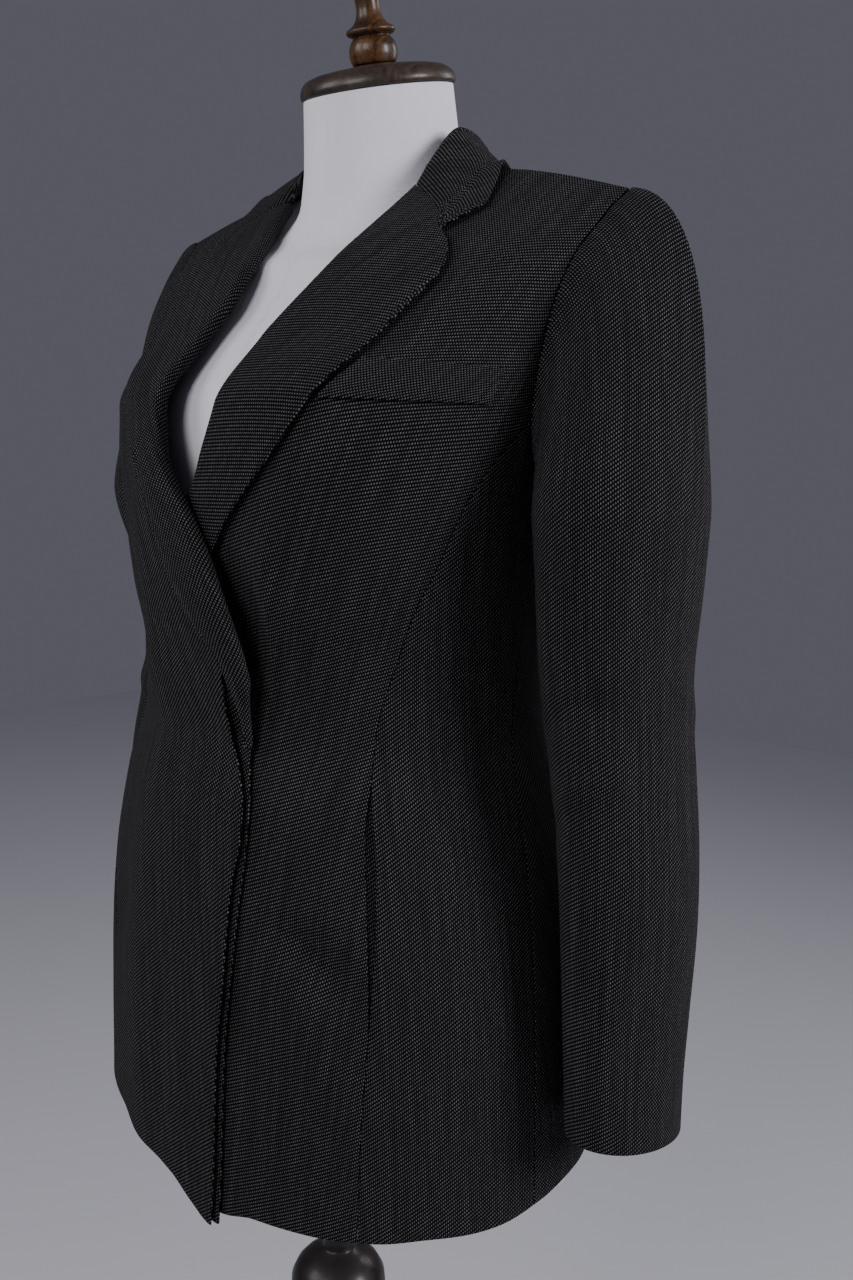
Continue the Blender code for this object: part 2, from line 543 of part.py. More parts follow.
def low_seam(seam, hem, sign):
    """Places on a seam's lower part, one of them at the height of the roll's foot."""
    table = np.array(from_hem(signed(seam, sign), hem))
    heights = np.interp(row_shares(), (0, 1, 2), (table[0, 1], ROLL_FOOT, table[-1, 1]))
    return np.stack([smooth_curve(table[:, 1], table[:, 0], heights), heights], -1)


def pocket_gap(heights):
    table = np.array(POCKET_MOUTH)
    inside = (heights > table[0, 0]) & (heights < table[-1, 0])
    return np.where(inside, smooth_curve(table[:, 0], table[:, 1], heights), 0.0)


def front_places(sign):
    """The patch of one front. Its left column is the princess seam and the armhole."""
    side_hem = HEM_LEFT if sign > 0 else HEM_RIGHT_FRONT
    outer = joined(low_seam(PRINCESS_SEAM, side_hem, sign), along(signed(ARMHOLE_FRONT, sign), HIGH_ROWS))
    if sign > 0:
        lower, roll = from_hem(LEFT_FRONT_EDGE, side_hem), LEFT_ROLL
    else:
        lower, roll = from_hem(RIGHT_FRONT_EDGE, side_hem), RIGHT_ROLL[1:]
    edge_rows = np.array(list(lower) + list(roll[1:]))
    from_heights = (outer[0, 1], ROLL_FOOT, TOP_HEIGHT)
    heights = np.interp(outer[:, 1], from_heights, (edge_rows[0, 1], ROLL_FOOT, TOP_HEIGHT))
    edge = np.stack([smooth_curve(edge_rows[:, 1], edge_rows[:, 0], heights), heights], -1)
    columns = SHOULDER_COLUMNS + FRONT_NECK_COLUMNS
    bottom = hem_places(side_hem, outer[0, 0], edge[0, 0], columns)
    neckline = np.linspace(NECK_POINT_ANGLE, NECK_FRONT_ANGLE, FRONT_NECK_COLUMNS + 1)[1:]
    top_angles = sign * np.concatenate([shoulder_angles(), neckline])
    top = np.stack([top_angles, np.full(columns + 1, TOP_HEIGHT)], -1)
    return patch(outer, edge, bottom, top)


def signed(rows, sign):
    return mirrored(rows) if sign < 0 else rows


def add_front(sign):
    side = "left" if sign > 0 else "right"
    places = front_places(sign)
    mouth = pocket_gap(places[:, 0, 1])
    places = shift_across(places, 0, mouth)
    rolled = places[:, -1, 1] > ROLL_FOOT - SEAM_GAP
    places = shift_across(places, -1, np.where(rolled, FRONT_PULL_BACK, 0.0))
    return panel("front_" + side, side, places)


def side_front_places(sign):
    hem = HEM_LEFT if sign > 0 else HEM_RIGHT_FRONT
    near = low_seam(PRINCESS_SEAM, hem, sign)
    far = low_seam(SIDE_SEAM, hem, sign)
    bottom = hem_places(hem, near[0, 0], far[0, 0], SIDE_COLUMNS)
    top = along(signed(ARMHOLE_UNDER, sign), SIDE_COLUMNS, by_height=False)
    return patch(near, far, bottom, top)


def add_side_front(sign):
    side = "left" if sign > 0 else "right"
    places = side_front_places(sign)
    places = shift_across(places, 0, pocket_gap(places[:, 0, 1]))
    return panel("side_front_" + side, side, places)


def add_back(sign):
    side = "left" if sign > 0 else "right"
    hem = HEM_LEFT if sign > 0 else HEM_RIGHT_FRONT
    armhole = along(signed(ARMHOLE_BACK, sign), HIGH_ROWS, by_height=False)
    near = joined(low_seam(SIDE_SEAM, hem, sign), armhole)
    heights = np.interp(near[:, 1], [near[0, 1], near[-1, 1]], [dict(hem)[180.0 * sign], TOP_HEIGHT])
    centre = np.stack([np.full(len(near), 180.0 * sign), heights], -1)
    columns = SHOULDER_COLUMNS + NECK_COLUMNS
    bottom = hem_places(hem, near[0, 0], 180.0 * sign, columns)
    neck = np.linspace(180.0 - NECK_POINT_ANGLE, 180.0, NECK_COLUMNS + 1)[1:]
    top_angles = sign * np.concatenate([180.0 - shoulder_angles(), neck])
    top = np.stack([top_angles, np.full(columns + 1, TOP_HEIGHT)], -1)
    places = patch(near, centre, bottom, top)
    return panel("back_" + side, "back", places)


def add_fly():
    """The under layer of the wearer's right front, made from that front's own points, moved in."""
    places = front_places(-1)[: HIP_ROWS + 1, -FLY_COLUMNS:]
    edge_rows = np.array(FLY_EDGE)
    heights = places[:, -1, 1]
    edge = np.stack([smooth_curve(edge_rows[:, 1], edge_rows[:, 0], heights), heights], -1)
    places = np.concatenate([places, edge[:, None]], axis=1)
    panel("fly_right", "right", places, above=-WALL - FLY_GAP)


def add_welt():
    rows = np.linspace((WELT_FROM, WELT_TO, WELT_BOTTOM), (WELT_FROM_TOP, WELT_TO, WELT_TOP), 3)
    places = np.array([np.linspace((start, height), (end, height), 7) for start, end, height in rows])
    outer = on_cloth("left", places, WELT_GAP + WELT_WALL)
    inner = on_cloth("left", places, WELT_GAP)
    return wall("chest_welt", outer, inner)


def add_pocket_back(sign):
    """The cloth that shows in the mouth of a hip pocket, made from the points of both panels."""
    side = "left" if sign > 0 else "right"
    front, side_front = front_places(sign), side_front_places(sign)
    rows = slice(POCKET_BACK_ROWS[0], POCKET_BACK_ROWS[1])
    faces = []
    for depth in (WALL + POCKET_BACK_GAP, 2 * WALL + POCKET_BACK_GAP):
        seam, near, far = (on_cloth(side, places[rows], -depth) for places in
                           (front[:, 0], front[:, 1], side_front[:, 1]))
        columns = (seam + (near - seam) * POCKET_BACK_REACH, seam, seam + (far - seam) * POCKET_BACK_REACH)
        faces.append(np.stack(columns, 1))
    return wall("pocket_back_" + side, *faces)


# ---------------------------------------------------------------- lapels and collar
def lapel_section(width):
    """(distance from the roll, height) of the lapel's middle line, from its tuck to its edge."""
    points = [(ROLL_CENTRE_IN + ROLL_TUCK, ROLL_CENTRE_UP - ROLL_RADIUS)]
    for turn in (270, 225, 180, 135, 90):
        c, s = math.cos(math.radians(turn)), math.sin(math.radians(turn))
        points.append((ROLL_CENTRE_IN + ROLL_RADIUS * c, ROLL_CENTRE_UP + ROLL_RADIUS * s))
    for share in LAPEL_SHARES:
        reach = ROLL_CENTRE_IN + (width - ROLL_CENTRE_IN) * share
        points.append((reach, LAPEL_LIE + LAPEL_BELLY * math.sin(math.pi * share) * min(width / 0.03, 1.0)))
    return np.array(points)


def section_normals(points):
    ends = np.concatenate([points[:1], points, points[-1:]])
    run = ends[2:] - ends[:-2]
    normal = np.stack([-run[:, 1], run[:, 0]], -1)
    return normal / np.linalg.norm(normal, axis=1, keepdims=True)


def lapel_lines(sign):
    """Places on the roll and on the outer edge of one lapel, row by row from its foot."""
    roll_rows = np.array(LEFT_ROLL if sign > 0 else RIGHT_ROLL)
    edge_rows = np.array(LEFT_LAPEL_EDGE if sign > 0 else RIGHT_LAPEL_EDGE)
    heights = np.concatenate([
        np.linspace(ROLL_FOOT, ARMHOLE_FRONT[0][1], BUST_ROWS + 1),
        np.linspace(ARMHOLE_FRONT[0][1], TOP_HEIGHT, HIGH_ROWS + 1)[1:],
    ])
    roll = np.stack([smooth_curve(roll_rows[:, 1], roll_rows[:, 0], heights), heights], -1)
    edge_heights = np.linspace(edge_rows[0, 1], edge_rows[-1, 1], LAPEL_NOTCH_ROW + 1)
    edge = np.stack([smooth_curve(edge_rows[:, 1], edge_rows[:, 0], edge_heights), edge_heights], -1)
    notch = along(signed(LAPEL_TOP, sign), LAPEL_ROWS - 1 - LAPEL_NOTCH_ROW, by_height=False)
    return roll, joined(edge, notch)


def add_lapel(sign):
    side = "left" if sign > 0 else "right"
    gorge = np.array(signed(GORGE, sign))
    outer, inner = [], []
    for row, (start, end) in enumerate(zip(*lapel_lines(sign))):
        width = float(np.linalg.norm(torso(*end) - torso(*start)))
        section = lapel_section(width)
        normals = section_normals(section)
        for face, points in ((outer, section + normals * WALL / 2), (inner, section - normals * WALL / 2)):
            share = points[:, :1] / width
            places = start + (end - start) * share
            if row == LAPEL_ROWS - 1:
                places = bent_to_gorge(places, share, gorge)
            face.append(on_cloth(side, places, points[:, 1]))
    outer, inner = np.array(outer), np.array(inner)
    wall("lapel_" + side, pulled_in(outer, edges="bt"), pulled_in(inner, edges="bt"))


def bent_to_gorge(places, share, gorge):
    """The lapel's top row follows the gorge seam instead of a straight line."""
    line = np.stack([np.interp(share[:, 0], [0, 0.5, 1], gorge[::-1, k]) for k in (0, 1)], -1)
    return np.where(share > 0, line, places)


def gorge_points():
    """The left lapel's points along the gorge, on its middle surface."""
    roll, edge = (line[-1] for line in lapel_lines(1))
    width = float(np.linalg.norm(torso(*edge) - torso(*roll)))
    section = lapel_section(width)[-len(LAPEL_SHARES):]
    share = section[:, :1] / width
    places = bent_to_gorge(roll + (edge - roll) * share, share, np.array(GORGE))
    return on_cloth("left", places, section[:, 1])


def collar_sections():
    """Middle surface of the collar's left half, points[along, across], from the gorge to the back."""
    shares = np.linspace(0, 1, COLLAR_HALF_COLUMNS)
    at = table_at(COLLAR_SECTIONS, COLLAR_COLUMNS, shares)
    seam = np.stack([at["seam_x"], at["seam_y"], at["seam_z"]], -1)
    roll = np.stack([at["roll_x"], at["roll_y"], at["roll_z"]], -1)
    edge = np.stack([at["edge_x"], at["edge_y"], at["edge_z"]], -1)
    away = edge - roll
    away[:, 2] = 0
    away = unit(away)
    up = np.array([0, 0, 1.0])
    r = COLLAR_ROLL_RADIUS
    lines = [seam, seam + (roll - seam) * 0.5]
    for turn in (180, 120, 60, 0):
        c, s = math.cos(math.radians(turn)), math.sin(math.radians(turn))
        lines.append(roll + away * r * (1 + c) + up * r * (s - 1))
    fall_start = lines[-1]
    steps = len(LAPEL_SHARES) + 1
    for step in range(1, steps + 1):
        lines.append(fall_start + (edge - fall_start) * step / steps)
    sections = np.stack(lines, 1)
    sections[0, -steps:-1] = gorge_points()
    return sections


def surface_normals(grid):
    """Normals of a grid of points, from its neighbours."""
    along_rows = np.gradient(grid, axis=0)
    along_columns = np.gradient(grid, axis=1)
    return unit(np.cross(along_rows, along_columns))


def add_collar():
    half = collar_sections()
    other = half[::-1].copy()
    other[..., 0] *= -1
    middle = np.concatenate([half, other[1:]])
    normals = surface_normals(middle)
    faces = (middle + normals * WALL / 2, middle - normals * WALL / 2)
    return wall("collar", *(pulled_in(face, gap=COLLAR_END_GAP, edges="bt") for face in faces))


# ---------------------------------------------------------------- sleeves
def armhole_loop():
    """Places of the left armhole, from the shoulder end down the front, under and up the back."""
    front = along(ARMHOLE_FRONT, HIGH_ROWS)[::-1]
    under = along(ARMHOLE_UNDER, SIDE_COLUMNS, by_height=False)
    back = along(ARMHOLE_BACK, HIGH_ROWS, by_height=False)
    return joined(front, under, back)[:-1]


def sleeve_ring(level, turn):
    """One horizontal section of the sleeve at the given angles round it."""
    x = level["centre_x"] + level["half_across"] * np.cos(turn)
    y = level["centre_y"] - level["half_deep"] * np.sin(turn)
    z = level["height"] + 0 * turn
    return np.stack([x, y, z], -1)


def sleeve_grid():
    """Outer points of the left sleeve, points[row, column], and the angle of each column."""
    places = armhole_loop()
    seam = torso(places[:, 0], places[:, 1])
    middle = seam.mean(axis=0)
    turn = np.arctan2(-(seam[:, 1] - middle[1]), seam[:, 2] - middle[2])
    turn = np.unwrap(turn)
    top = dict(zip(SLEEVE_COLUMNS, SLEEVE_LEVELS[0]))
    ring = sleeve_ring(top, turn)
    rows = [seam]
    rise = (1 + np.cos(turn)) / 2
    drop = np.linalg.norm(ring - seam, axis=1)
    away = torso_normal(places[:, 0], places[:, 1])
    away[:, 0] = np.maximum(away[:, 0], 0.4)
    out = unit(np.array([1.0, 0.0, 0.0]) + CAP_FLARE * away)
    fullness = SLEEVE_HEAD_FULLNESS * (CAP_UNDER_SHARE + (1 - CAP_UNDER_SHARE) * rise)
    start_pull = out * (fullness * drop)[:, None]
    start_pull[:, 2] += SLEEVE_HEAD_RISE * rise**3
    end_pull = np.array([0, 0, -1.0]) * (CAP_FALL * drop)[:, None]
    for t in np.linspace(0, 1, SLEEVE_CAP_ROWS + 1)[1:]:
        rows.append(
            (1 + 2 * t) * (1 - t) ** 2 * seam
            + t * (1 - t) ** 2 * start_pull
            + t * t * (3 - 2 * t) * ring
            + t * t * (t - 1) * end_pull
        )
    for values in SLEEVE_LEVELS[1:]:
        rows.append(sleeve_ring(dict(zip(SLEEVE_COLUMNS, values)), turn))
    rows[-1][:, 2] -= CUFF_SLANT * np.sin(-turn)
    return np.array(rows), turn, places


def sleeve_normals(grid, places):
    closed = np.concatenate([grid[:, -1:], grid, grid[:, :1]], axis=1)
    normals = surface_normals(closed)[:, 1:-1]
    outward = ((grid - grid.mean(axis=1, keepdims=True)) * normals).sum(-1)[2:].mean() > 0
    normals = normals if outward else -normals
    body = torso_normal(places[:, 0], places[:, 1])
    under = np.clip((CAP_UNDER_HEIGHT - grid[0, :, 2]) / CAP_UNDER_SPAN, 0, 1)[:, None]
    normals[0] = unit(body + under * (normals[1] + np.array([0, 0, -0.4])))
    return normals


def shifted_back(grid):
    """The sleeve moved in and back, more and more from its armhole down through the cap."""
    shift = np.array(RIGHT_SLEEVE_SHIFT)
    share = np.minimum(np.arange(len(grid)) / SLEEVE_CAP_ROWS, 1)[:, None]
    share = share * share * (3 - 2 * share)
    moved = grid.copy()
    moved[..., 0] -= share * smooth_curve(shift[:, 0], shift[:, 1], grid[..., 2])
    moved[..., 1] += share * smooth_curve(shift[:, 0], shift[:, 2], grid[..., 2])
    return moved


def add_sleeve_piece(name, outer, inner, columns, sign):
    mirror = np.array([sign, 1, 1])
    faces = []
    for grid in (outer, inner):
        grid = pulled_in(grid[:, columns], gap=SLEEVE_SEAM_GAP, edges="lr")
        faces.append(pulled_in(grid * mirror, gap=ARMHOLE_GAP, edges="b"))
    return wall(name, *faces)


def add_sleeves():
    grid, turn, places = sleeve_grid()
    normals = sleeve_normals(grid, places)
    inner = grid - normals * WALL
    degrees = np.degrees(turn) % 360
    count = len(turn)
    hind = int(np.argmin(np.abs(degrees - HIND_SEAM_ANGLE % 360)))
    fore = int(np.argmin(np.abs(degrees - FRONT_SEAM_ANGLE)))
    over = [j % count for j in range(hind, fore + 1 + (count if fore < hind else 0))]
    under = [j % count for j in range(fore, hind + 1 + (count if hind < fore else 0))]
    for sign, side in ((1, "left"), (-1, "right")):
        outer_side, inner_side = (grid, inner) if sign > 0 else (shifted_back(grid), shifted_back(inner))
        add_sleeve_piece("top_sleeve_" + side, outer_side, inner_side, over, sign)
        add_sleeve_piece("under_sleeve_" + side, outer_side, inner_side, under, sign)


# ---------------------------------------------------------------- dress form and stand
def form_ring(level, turn):
    """Points round the form at one height: the outline of its neck or trunk, and of its shoulders."""
    sine, cosine = np.sin(turn), np.cos(turn)
    depth = np.where(cosine < 0, level["back"], level["front"])
    square = level["square"]
    reach = (np.abs(sine / level["half_width"]) ** square + np.abs(cosine / depth) ** square) ** (-1 / square)
    if level["wing"] > 0:
        wing = ((sine / level["wing"]) ** 2 + (cosine / level["wing_depth"]) ** 2) ** -0.5
        reach = (reach**FORM_BLEND + wing**FORM_BLEND) ** (1 / FORM_BLEND)
    return np.stack([reach * sine, level["middle_y"] - reach * cosine, level["height"] + 0 * turn], -1)


def add_form():
    turn = np.linspace(0, 2 * math.pi, FORM_COLUMNS_ROUND, endpoint=False)
    sine, cosine = np.sin(turn)[None], np.cos(turn)[None]
    rings = np.array([form_ring(dict(zip(FORM_COLUMNS, row)), turn) for row in FORM_LEVELS])
    tilt = math.radians(NECK_TILT)
    neck = np.stack(
        [
            FORM_NECK_RADIUS * sine[0],
            FORM_NECK_TOP_Y - FORM_NECK_RADIUS * cosine[0] * math.cos(tilt),
            FORM_NECK_TOP_HEIGHT - FORM_NECK_RADIUS * cosine[0] * math.sin(tilt),
        ],
        -1,
    )
    rings = np.concatenate([rings, neck[None]])
    rows, columns = rings.shape[:2]
    faces = grid_faces(rows, columns, 0, False, wrap=True)
    faces.append(list(range(columns))[::-1])
    faces.append([(rows - 1) * columns + j for j in range(columns)])
    points = rings.reshape(-1, 3) + np.array([0, 0, HEM_LEVEL])
    obj = new_object("form_torso", mesh_from("form_torso", points, faces), FORM_COLOUR, 0.9)
    obj.data.set_sharp_from_angle(angle=math.radians(50))
    return obj


def turned(name, profile, steps=TURNED_STEPS):
    """A turned piece: its profile swept about Z by a Screw modifier."""
    mesh = bpy.data.meshes.new(name)
    points = [(radius, 0, height) for radius, height in profile]
    mesh.from_pydata(points, [(i, i + 1) for i in range(len(points) - 1)], [])
    obj = new_object(name, mesh, WOOD_COLOUR, 0.35, smooth=False)
    screw = obj.modifiers.new("Turned", "SCREW")
    screw.axis = "Z"
    screw.steps = steps
    screw.render_steps = steps
    screw.use_merge_vertices = True
    screw.merge_threshold = 0.00005
    screw.use_smooth_shade = True
    return obj


def arc(centre_radius, centre_height, radius, start, end, count):
    """Points of a round moulding; 90 degrees is its top and 0 its outer side."""
    turns = [math.radians(start + (end - start) * k / count) for k in range(count + 1)]
    return [(centre_radius + radius * math.cos(t), centre_height + radius * math.sin(t)) for t in turns]


def add_neck_wood():
    tilt = math.radians(NECK_TILT)
    lean = np.array([0, -math.sin(tilt), math.cos(tilt)])
    top = np.array([0, FORM_NECK_TOP_Y, FORM_NECK_TOP_HEIGHT + HEM_LEVEL])
    cap = turned("neck_cap", CAP_PROFILE)
    cap.location = top + lean * (SEAM_GAP - CAP_PROFILE[-1][1])
    cap.rotation_euler = (tilt, 0, 0)
    finial = turned("finial", FINIAL_PROFILE)
    finial.location = top + lean * (2 * SEAM_GAP - CAP_PROFILE[-1][1] + CAP_PROFILE[0][1])
    finial.rotation_euler = (tilt, 0, 0)


def add_stand():
    top = HEM_LEVEL + FORM_LEVELS[0][0] - SEAM_GAP
    bulb_top = HEM_LEVEL + BULB_TOP
    middle = bulb_top - BULB_HEIGHT / 2
    bulb = [
        (BULB_RADIUS * math.cos(math.radians(a)), middle + BULB_HEIGHT / 2 * math.sin(math.radians(a)))
        for a in range(68, -69, -17)
    ]
    profile = [(0, top), (POST_RADIUS, top), (POST_RADIUS, bulb_top + BULB_NECK)] + bulb
    foot = BASE_THICKNESS + SEAM_GAP
    profile.append((COLUMN_RADIUS, bulb[-1][1] - COLUMN_NECK))
    profile += [(radius, foot + height) for radius, height in COLUMN_FOOT] + [(0, foot)]
    turned("post", profile)
    rim = arc(BASE_RADIUS - BASE_ROUND, BASE_THICKNESS - BASE_ROUND, BASE_ROUND, 90, 0, 4)
    base = [(0, BASE_THICKNESS), (BASE_MIDDLE, BASE_THICKNESS)] + rim
    base += [(BASE_RADIUS, BASE_CHAMFER), (BASE_RADIUS - BASE_CHAMFER, 0), (0, 0)]
    turned("base", base, steps=BASE_STEPS)


# ---------------------------------------------------------------- the whole
COLLECTION = "blazer_on_dress_form"


def clear_scene():
    for obj in list(bpy.data.objects):
        bpy.data.objects.remove(obj, do_unlink=True)
    collection = bpy.data.collections.new(COLLECTION)
    bpy.context.scene.collection.children.link(collection)


def main():
    clear_scene()
    for sign in (1, -1):
        add_front(sign)
        add_side_front(sign)
        add_back(sign)
        add_lapel(sign)
        add_pocket_back(sign)
    add_fly()
    add_welt()
    add_collar()
    add_sleeves()
    add_form()
    add_neck_wood()
    add_stand()


main()
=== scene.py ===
"""Looks of the blazer on its dress form: fine cloth shells, woven cloth, wood, floor and light.

The shells are made on the same torso surface, seams and sections as the solids, with more rows and
columns, rounded edges and the cloth's creases. Metres, +Z up, heights from the level of the hem.
"""
import math

import bmesh
import bpy
import numpy as np
from mathutils import Matrix, Vector


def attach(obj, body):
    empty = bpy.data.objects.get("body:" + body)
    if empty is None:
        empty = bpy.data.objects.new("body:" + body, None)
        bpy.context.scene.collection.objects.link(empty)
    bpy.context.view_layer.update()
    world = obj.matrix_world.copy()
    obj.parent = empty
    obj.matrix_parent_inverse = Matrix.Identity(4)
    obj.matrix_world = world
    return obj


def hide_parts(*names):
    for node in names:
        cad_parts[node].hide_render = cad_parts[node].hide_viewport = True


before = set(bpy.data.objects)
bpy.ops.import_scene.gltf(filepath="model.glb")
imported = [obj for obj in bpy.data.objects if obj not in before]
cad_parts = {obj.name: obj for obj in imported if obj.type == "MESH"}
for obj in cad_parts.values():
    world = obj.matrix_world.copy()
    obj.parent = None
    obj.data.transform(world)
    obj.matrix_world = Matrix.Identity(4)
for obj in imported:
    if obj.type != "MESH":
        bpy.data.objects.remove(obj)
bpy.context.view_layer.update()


# ---------------------------------------------------------------- driving dimensions
FINE = 6                  # shell rows and columns for each one of the solids
HEM_LEVEL = 0.66          # height of the hem above the floor
WALL = 0.002              # thickness of the cloth
SEAM_GAP = 0.0003         # between two turned pieces, and between two solids at a seam
SEAM_PULL = 0.00005       # by which each shell's edge stands back from a seam
SEAM_SCALE = np.array([0.003, 1.0])    # degrees and metres of a seam's rows in one measure
CHEST_HEIGHT = 0.500      # above this height the torso closes towards the shoulder line
TOP_HEIGHT = 0.660        # the shoulder line and the back of the neckline
NECK_HALF_WIDTH = 0.080
NECK_MIDDLE_Y = 0.030
NECK_BACK_DEPTH = 0.066
NECK_FRONT_DEPTH = 0.050
NECK_BACK_DROP, NECK_FRONT_DROP = 0.014, 0.030    # of the neckline below the two neck points
SHOULDER_PEAK = 0.6825    # where the two shoulder lines would meet
SHOULDER_SLOPE = 0.245
RIDGE_FROM = 0.640        # from here up, walls turn to stand square to the shoulder line

TORSO_COLUMNS = ("height", "half_width", "front", "back", "square", "front_close", "back_close", "bust")
TORSO_LEVELS = (
    (-0.040, 0.203, 0.147, 0.147, 2.00, 0.00, 0.00, 0.000),
    (0.000, 0.200, 0.146, 0.146, 2.00, 0.00, 0.00, 0.000),
    (0.100, 0.195, 0.147, 0.140, 2.05, 0.00, 0.00, 0.000),
    (0.190, 0.182, 0.145, 0.128, 2.10, 0.00, 0.00, 0.000),
    (0.250, 0.166, 0.141, 0.115, 2.10, 0.00, 0.00, 0.000),
    (0.300, 0.152, 0.129, 0.106, 2.10, 0.00, 0.00, 0.000),
    (0.340, 0.151, 0.130, 0.104, 2.10, 0.00, 0.00, 0.001),
    (0.385, 0.153, 0.136, 0.107, 2.15, 0.00, 0.00, 0.006),
    (0.430, 0.157, 0.140, 0.114, 2.20, 0.00, 0.00, 0.010),
    (0.465, 0.161, 0.141, 0.120, 2.25, 0.00, 0.00, 0.012),
    (0.500, 0.167, 0.137, 0.124, 2.30, 0.00, 0.00, 0.009),
    (0.550, 0.176, 0.132, 0.126, 2.40, 0.22, 0.02, 0.004),
    (0.600, 0.188, 0.132, 0.124, 2.50, 0.50, 0.14, 0.000),
    (0.635, 0.197, 0.128, 0.120, 2.50, 0.78, 0.46, 0.000),
    (0.652, 0.201, 0.127, 0.118, 2.50, 0.93, 0.78, 0.000),
    (0.660, 0.203, 0.126, 0.117, 2.50, 1.00, 1.00, 0.000),
)
BUST_ANGLE, BUST_SPREAD = 34.0, 20.0
BUST_SIDE_ANGLE, BUST_SIDE_SPREAD, BUST_SIDE_SHARE = 55.0, 22.0, 0.25

# Seams and edges of the wearer's left half, as rows of (angle, height).
PRINCESS_SEAM = (
    (37.7, -0.016), (39.1, 0.079), (40.4, 0.123), (44.3, 0.274), (44.9, 0.289), (45.8, 0.308),
    (47.9, 0.326), (51.6, 0.352), (56.6, 0.385), (60.7, 0.405), (66.3, 0.439), (73.0, 0.466), (84.0, 0.496),
)
SIDE_SEAM = ((79.0, -0.002), (80.0, 0.100), (83.0, 0.200), (87.0, 0.300), (92.0, 0.400), (96.0, 0.455))
ARMHOLE_FRONT = (
    (84.0, 0.496), (82.6, 0.517), (79.6, 0.543), (76.6, 0.569), (73.6, 0.595),
    (71.6, 0.619), (71.6, 0.642), (74.4, 0.660),
)
ARMHOLE_UNDER = ((84.0, 0.496), (86.0, 0.478), (90.0, 0.462), (96.0, 0.455))
ARMHOLE_BACK = (
    (96.0, 0.455), (110.0, 0.462), (118.0, 0.482), (120.5, 0.512), (120.0, 0.550),
    (118.0, 0.590), (114.5, 0.622), (110.0, 0.645), (105.6, 0.660),
)
NECK_POINT_ANGLE = 18.2   # where the shoulder seam meets the neckline
NECK_FRONT_ANGLE = 12.2   # where the front's neckline meets the roll line

# The hem all round: (angle, height). The wearer's right front dips to its corner.
HEM_RIGHT_FRONT = (
    (-180.0, 0.010), (-96.0, 0.006), (-79.0, 0.001), (-45.0, 0.003), (-27.0, 0.002), (-17.0, -0.001),
    (-10.0, -0.003), (-4.0, -0.008), (2.0, -0.020), (8.0, -0.029), (15.0, -0.030),
)
HEM_LEFT = (
    (-20.0, 0.004), (-10.0, 0.001), (-4.0, -0.004), (2.0, -0.015), (8.0, -0.023),
    (16.0, -0.018), (27.0, -0.018), (42.0, -0.016), (52.0, -0.0120), (62.0, -0.0102),
    (70.0, -0.0075), (80.0, -0.001), (96.0, 0.006), (180.0, 0.010),
)

# Edges of the two fronts below the roll, and the roll lines above it: (angle, height).
LEFT_FRONT_EDGE = ((-17.0, 0.003), (-17.0, 0.250), (-16.0, 0.325))
LEFT_ROLL = (
    (-16.0, 0.325), (-14.0, 0.347), (-10.0, 0.385), (-4.0, 0.427), (1.4, 0.457), (4.2, 0.492),
    (5.4, 0.517), (6.2, 0.5494), (7.4, 0.5634), (9.4, 0.587), (11.0, 0.614), (12.0, 0.642), (12.2, 0.660),
)
RIGHT_FRONT_EDGE = (
    (7.5, -0.030), (8.2, 0.0125), (9.2, 0.094), (10.5, 0.140), (11.5, 0.181), (12.8, 0.211),
    (14.6, 0.235), (15.0, 0.255), (12.9, 0.276), (9.9, 0.296), (8.8, 0.320), (9.6, 0.340), (10.6, 0.352),
)
FLY_EDGE = (
    (8.4, -0.030), (9.0, 0.0125), (10.0, 0.094), (11.2, 0.140), (13.0, 0.190), (15.0, 0.230),
    (15.6, 0.255), (14.2, 0.284), (14.0, 0.310), (14.4, 0.334),
)
RIGHT_ROLL = (
    (15.6, 0.334), (13.2, 0.364), (10.4, 0.389), (7.4, 0.411), (4.6, 0.426), (1.6, 0.442),
    (-1.6, 0.457), (-6.2, 0.480), (-8.8, 0.503), (-9.0, 0.520), (-7.9, 0.540), (-6.1, 0.560),
    (-4.7, 0.582), (-5.3, 0.604), (-7.4, 0.626), (-10.0, 0.644), (-12.2, 0.660),
)
FLY_COLUMNS = 2 * FINE + 1    # how many of the front's columns the fly reaches in
FLY_BEYOND = 3                # columns of the fly beyond the front's edge
FLY_GAP = 0.0006
# How far the fly's over layer lifts at its edge: (height, lift).
FLY_CURL = (
    (-0.040, 0.0014), (0.100, 0.0020), (0.230, 0.0022), (0.300, 0.0022),
    (0.335, 0.0006), (0.360, 0.0), (0.700, 0.0),
)
CURL_ANGLE = 4.0              # degrees over which that lift fades
# The under layer's hollow in the slit: (angle, height) of its middle, its spread, and its depth.
FLY_DIP_PLACE, FLY_DIP_SPREAD, FLY_DIP_DEPTH = (11.0, 0.306), (2.2, 0.018), 0.0040

# Outer edges of the lapels, from the roll's foot up to the notch, and the gorge above it.
LEFT_LAPEL_EDGE = (
    (-13.4, 0.331), (-8.0, 0.360), (-2.0, 0.387), (6.9, 0.417), (9.4, 0.428), (16.1, 0.451), (23.4, 0.475),
    (27.8, 0.499), (31.0, 0.516), (33.9, 0.535), (35.8, 0.557), (37.8, 0.578),
)
RIGHT_LAPEL_EDGE = (
    (10.6, 0.338), (8.0, 0.356), (1.5, 0.378), (-3.4, 0.404), (-6.1, 0.423), (-9.6, 0.449), (-14.0, 0.468),
    (-20.0, 0.484), (-25.5, 0.503), (-30.5, 0.528), (-34.5, 0.555), (-37.0, 0.578),
)
# Below its foot the right lapel runs on as a narrow strip inside the fly: (roll, edge, height).
RIGHT_FOOT = ((14.5, 13.0, 0.290), (14.5, 12.8, 0.305), (14.9, 12.2, 0.322), (15.6, 10.7, 0.334))
FOOT_ROWS = 10
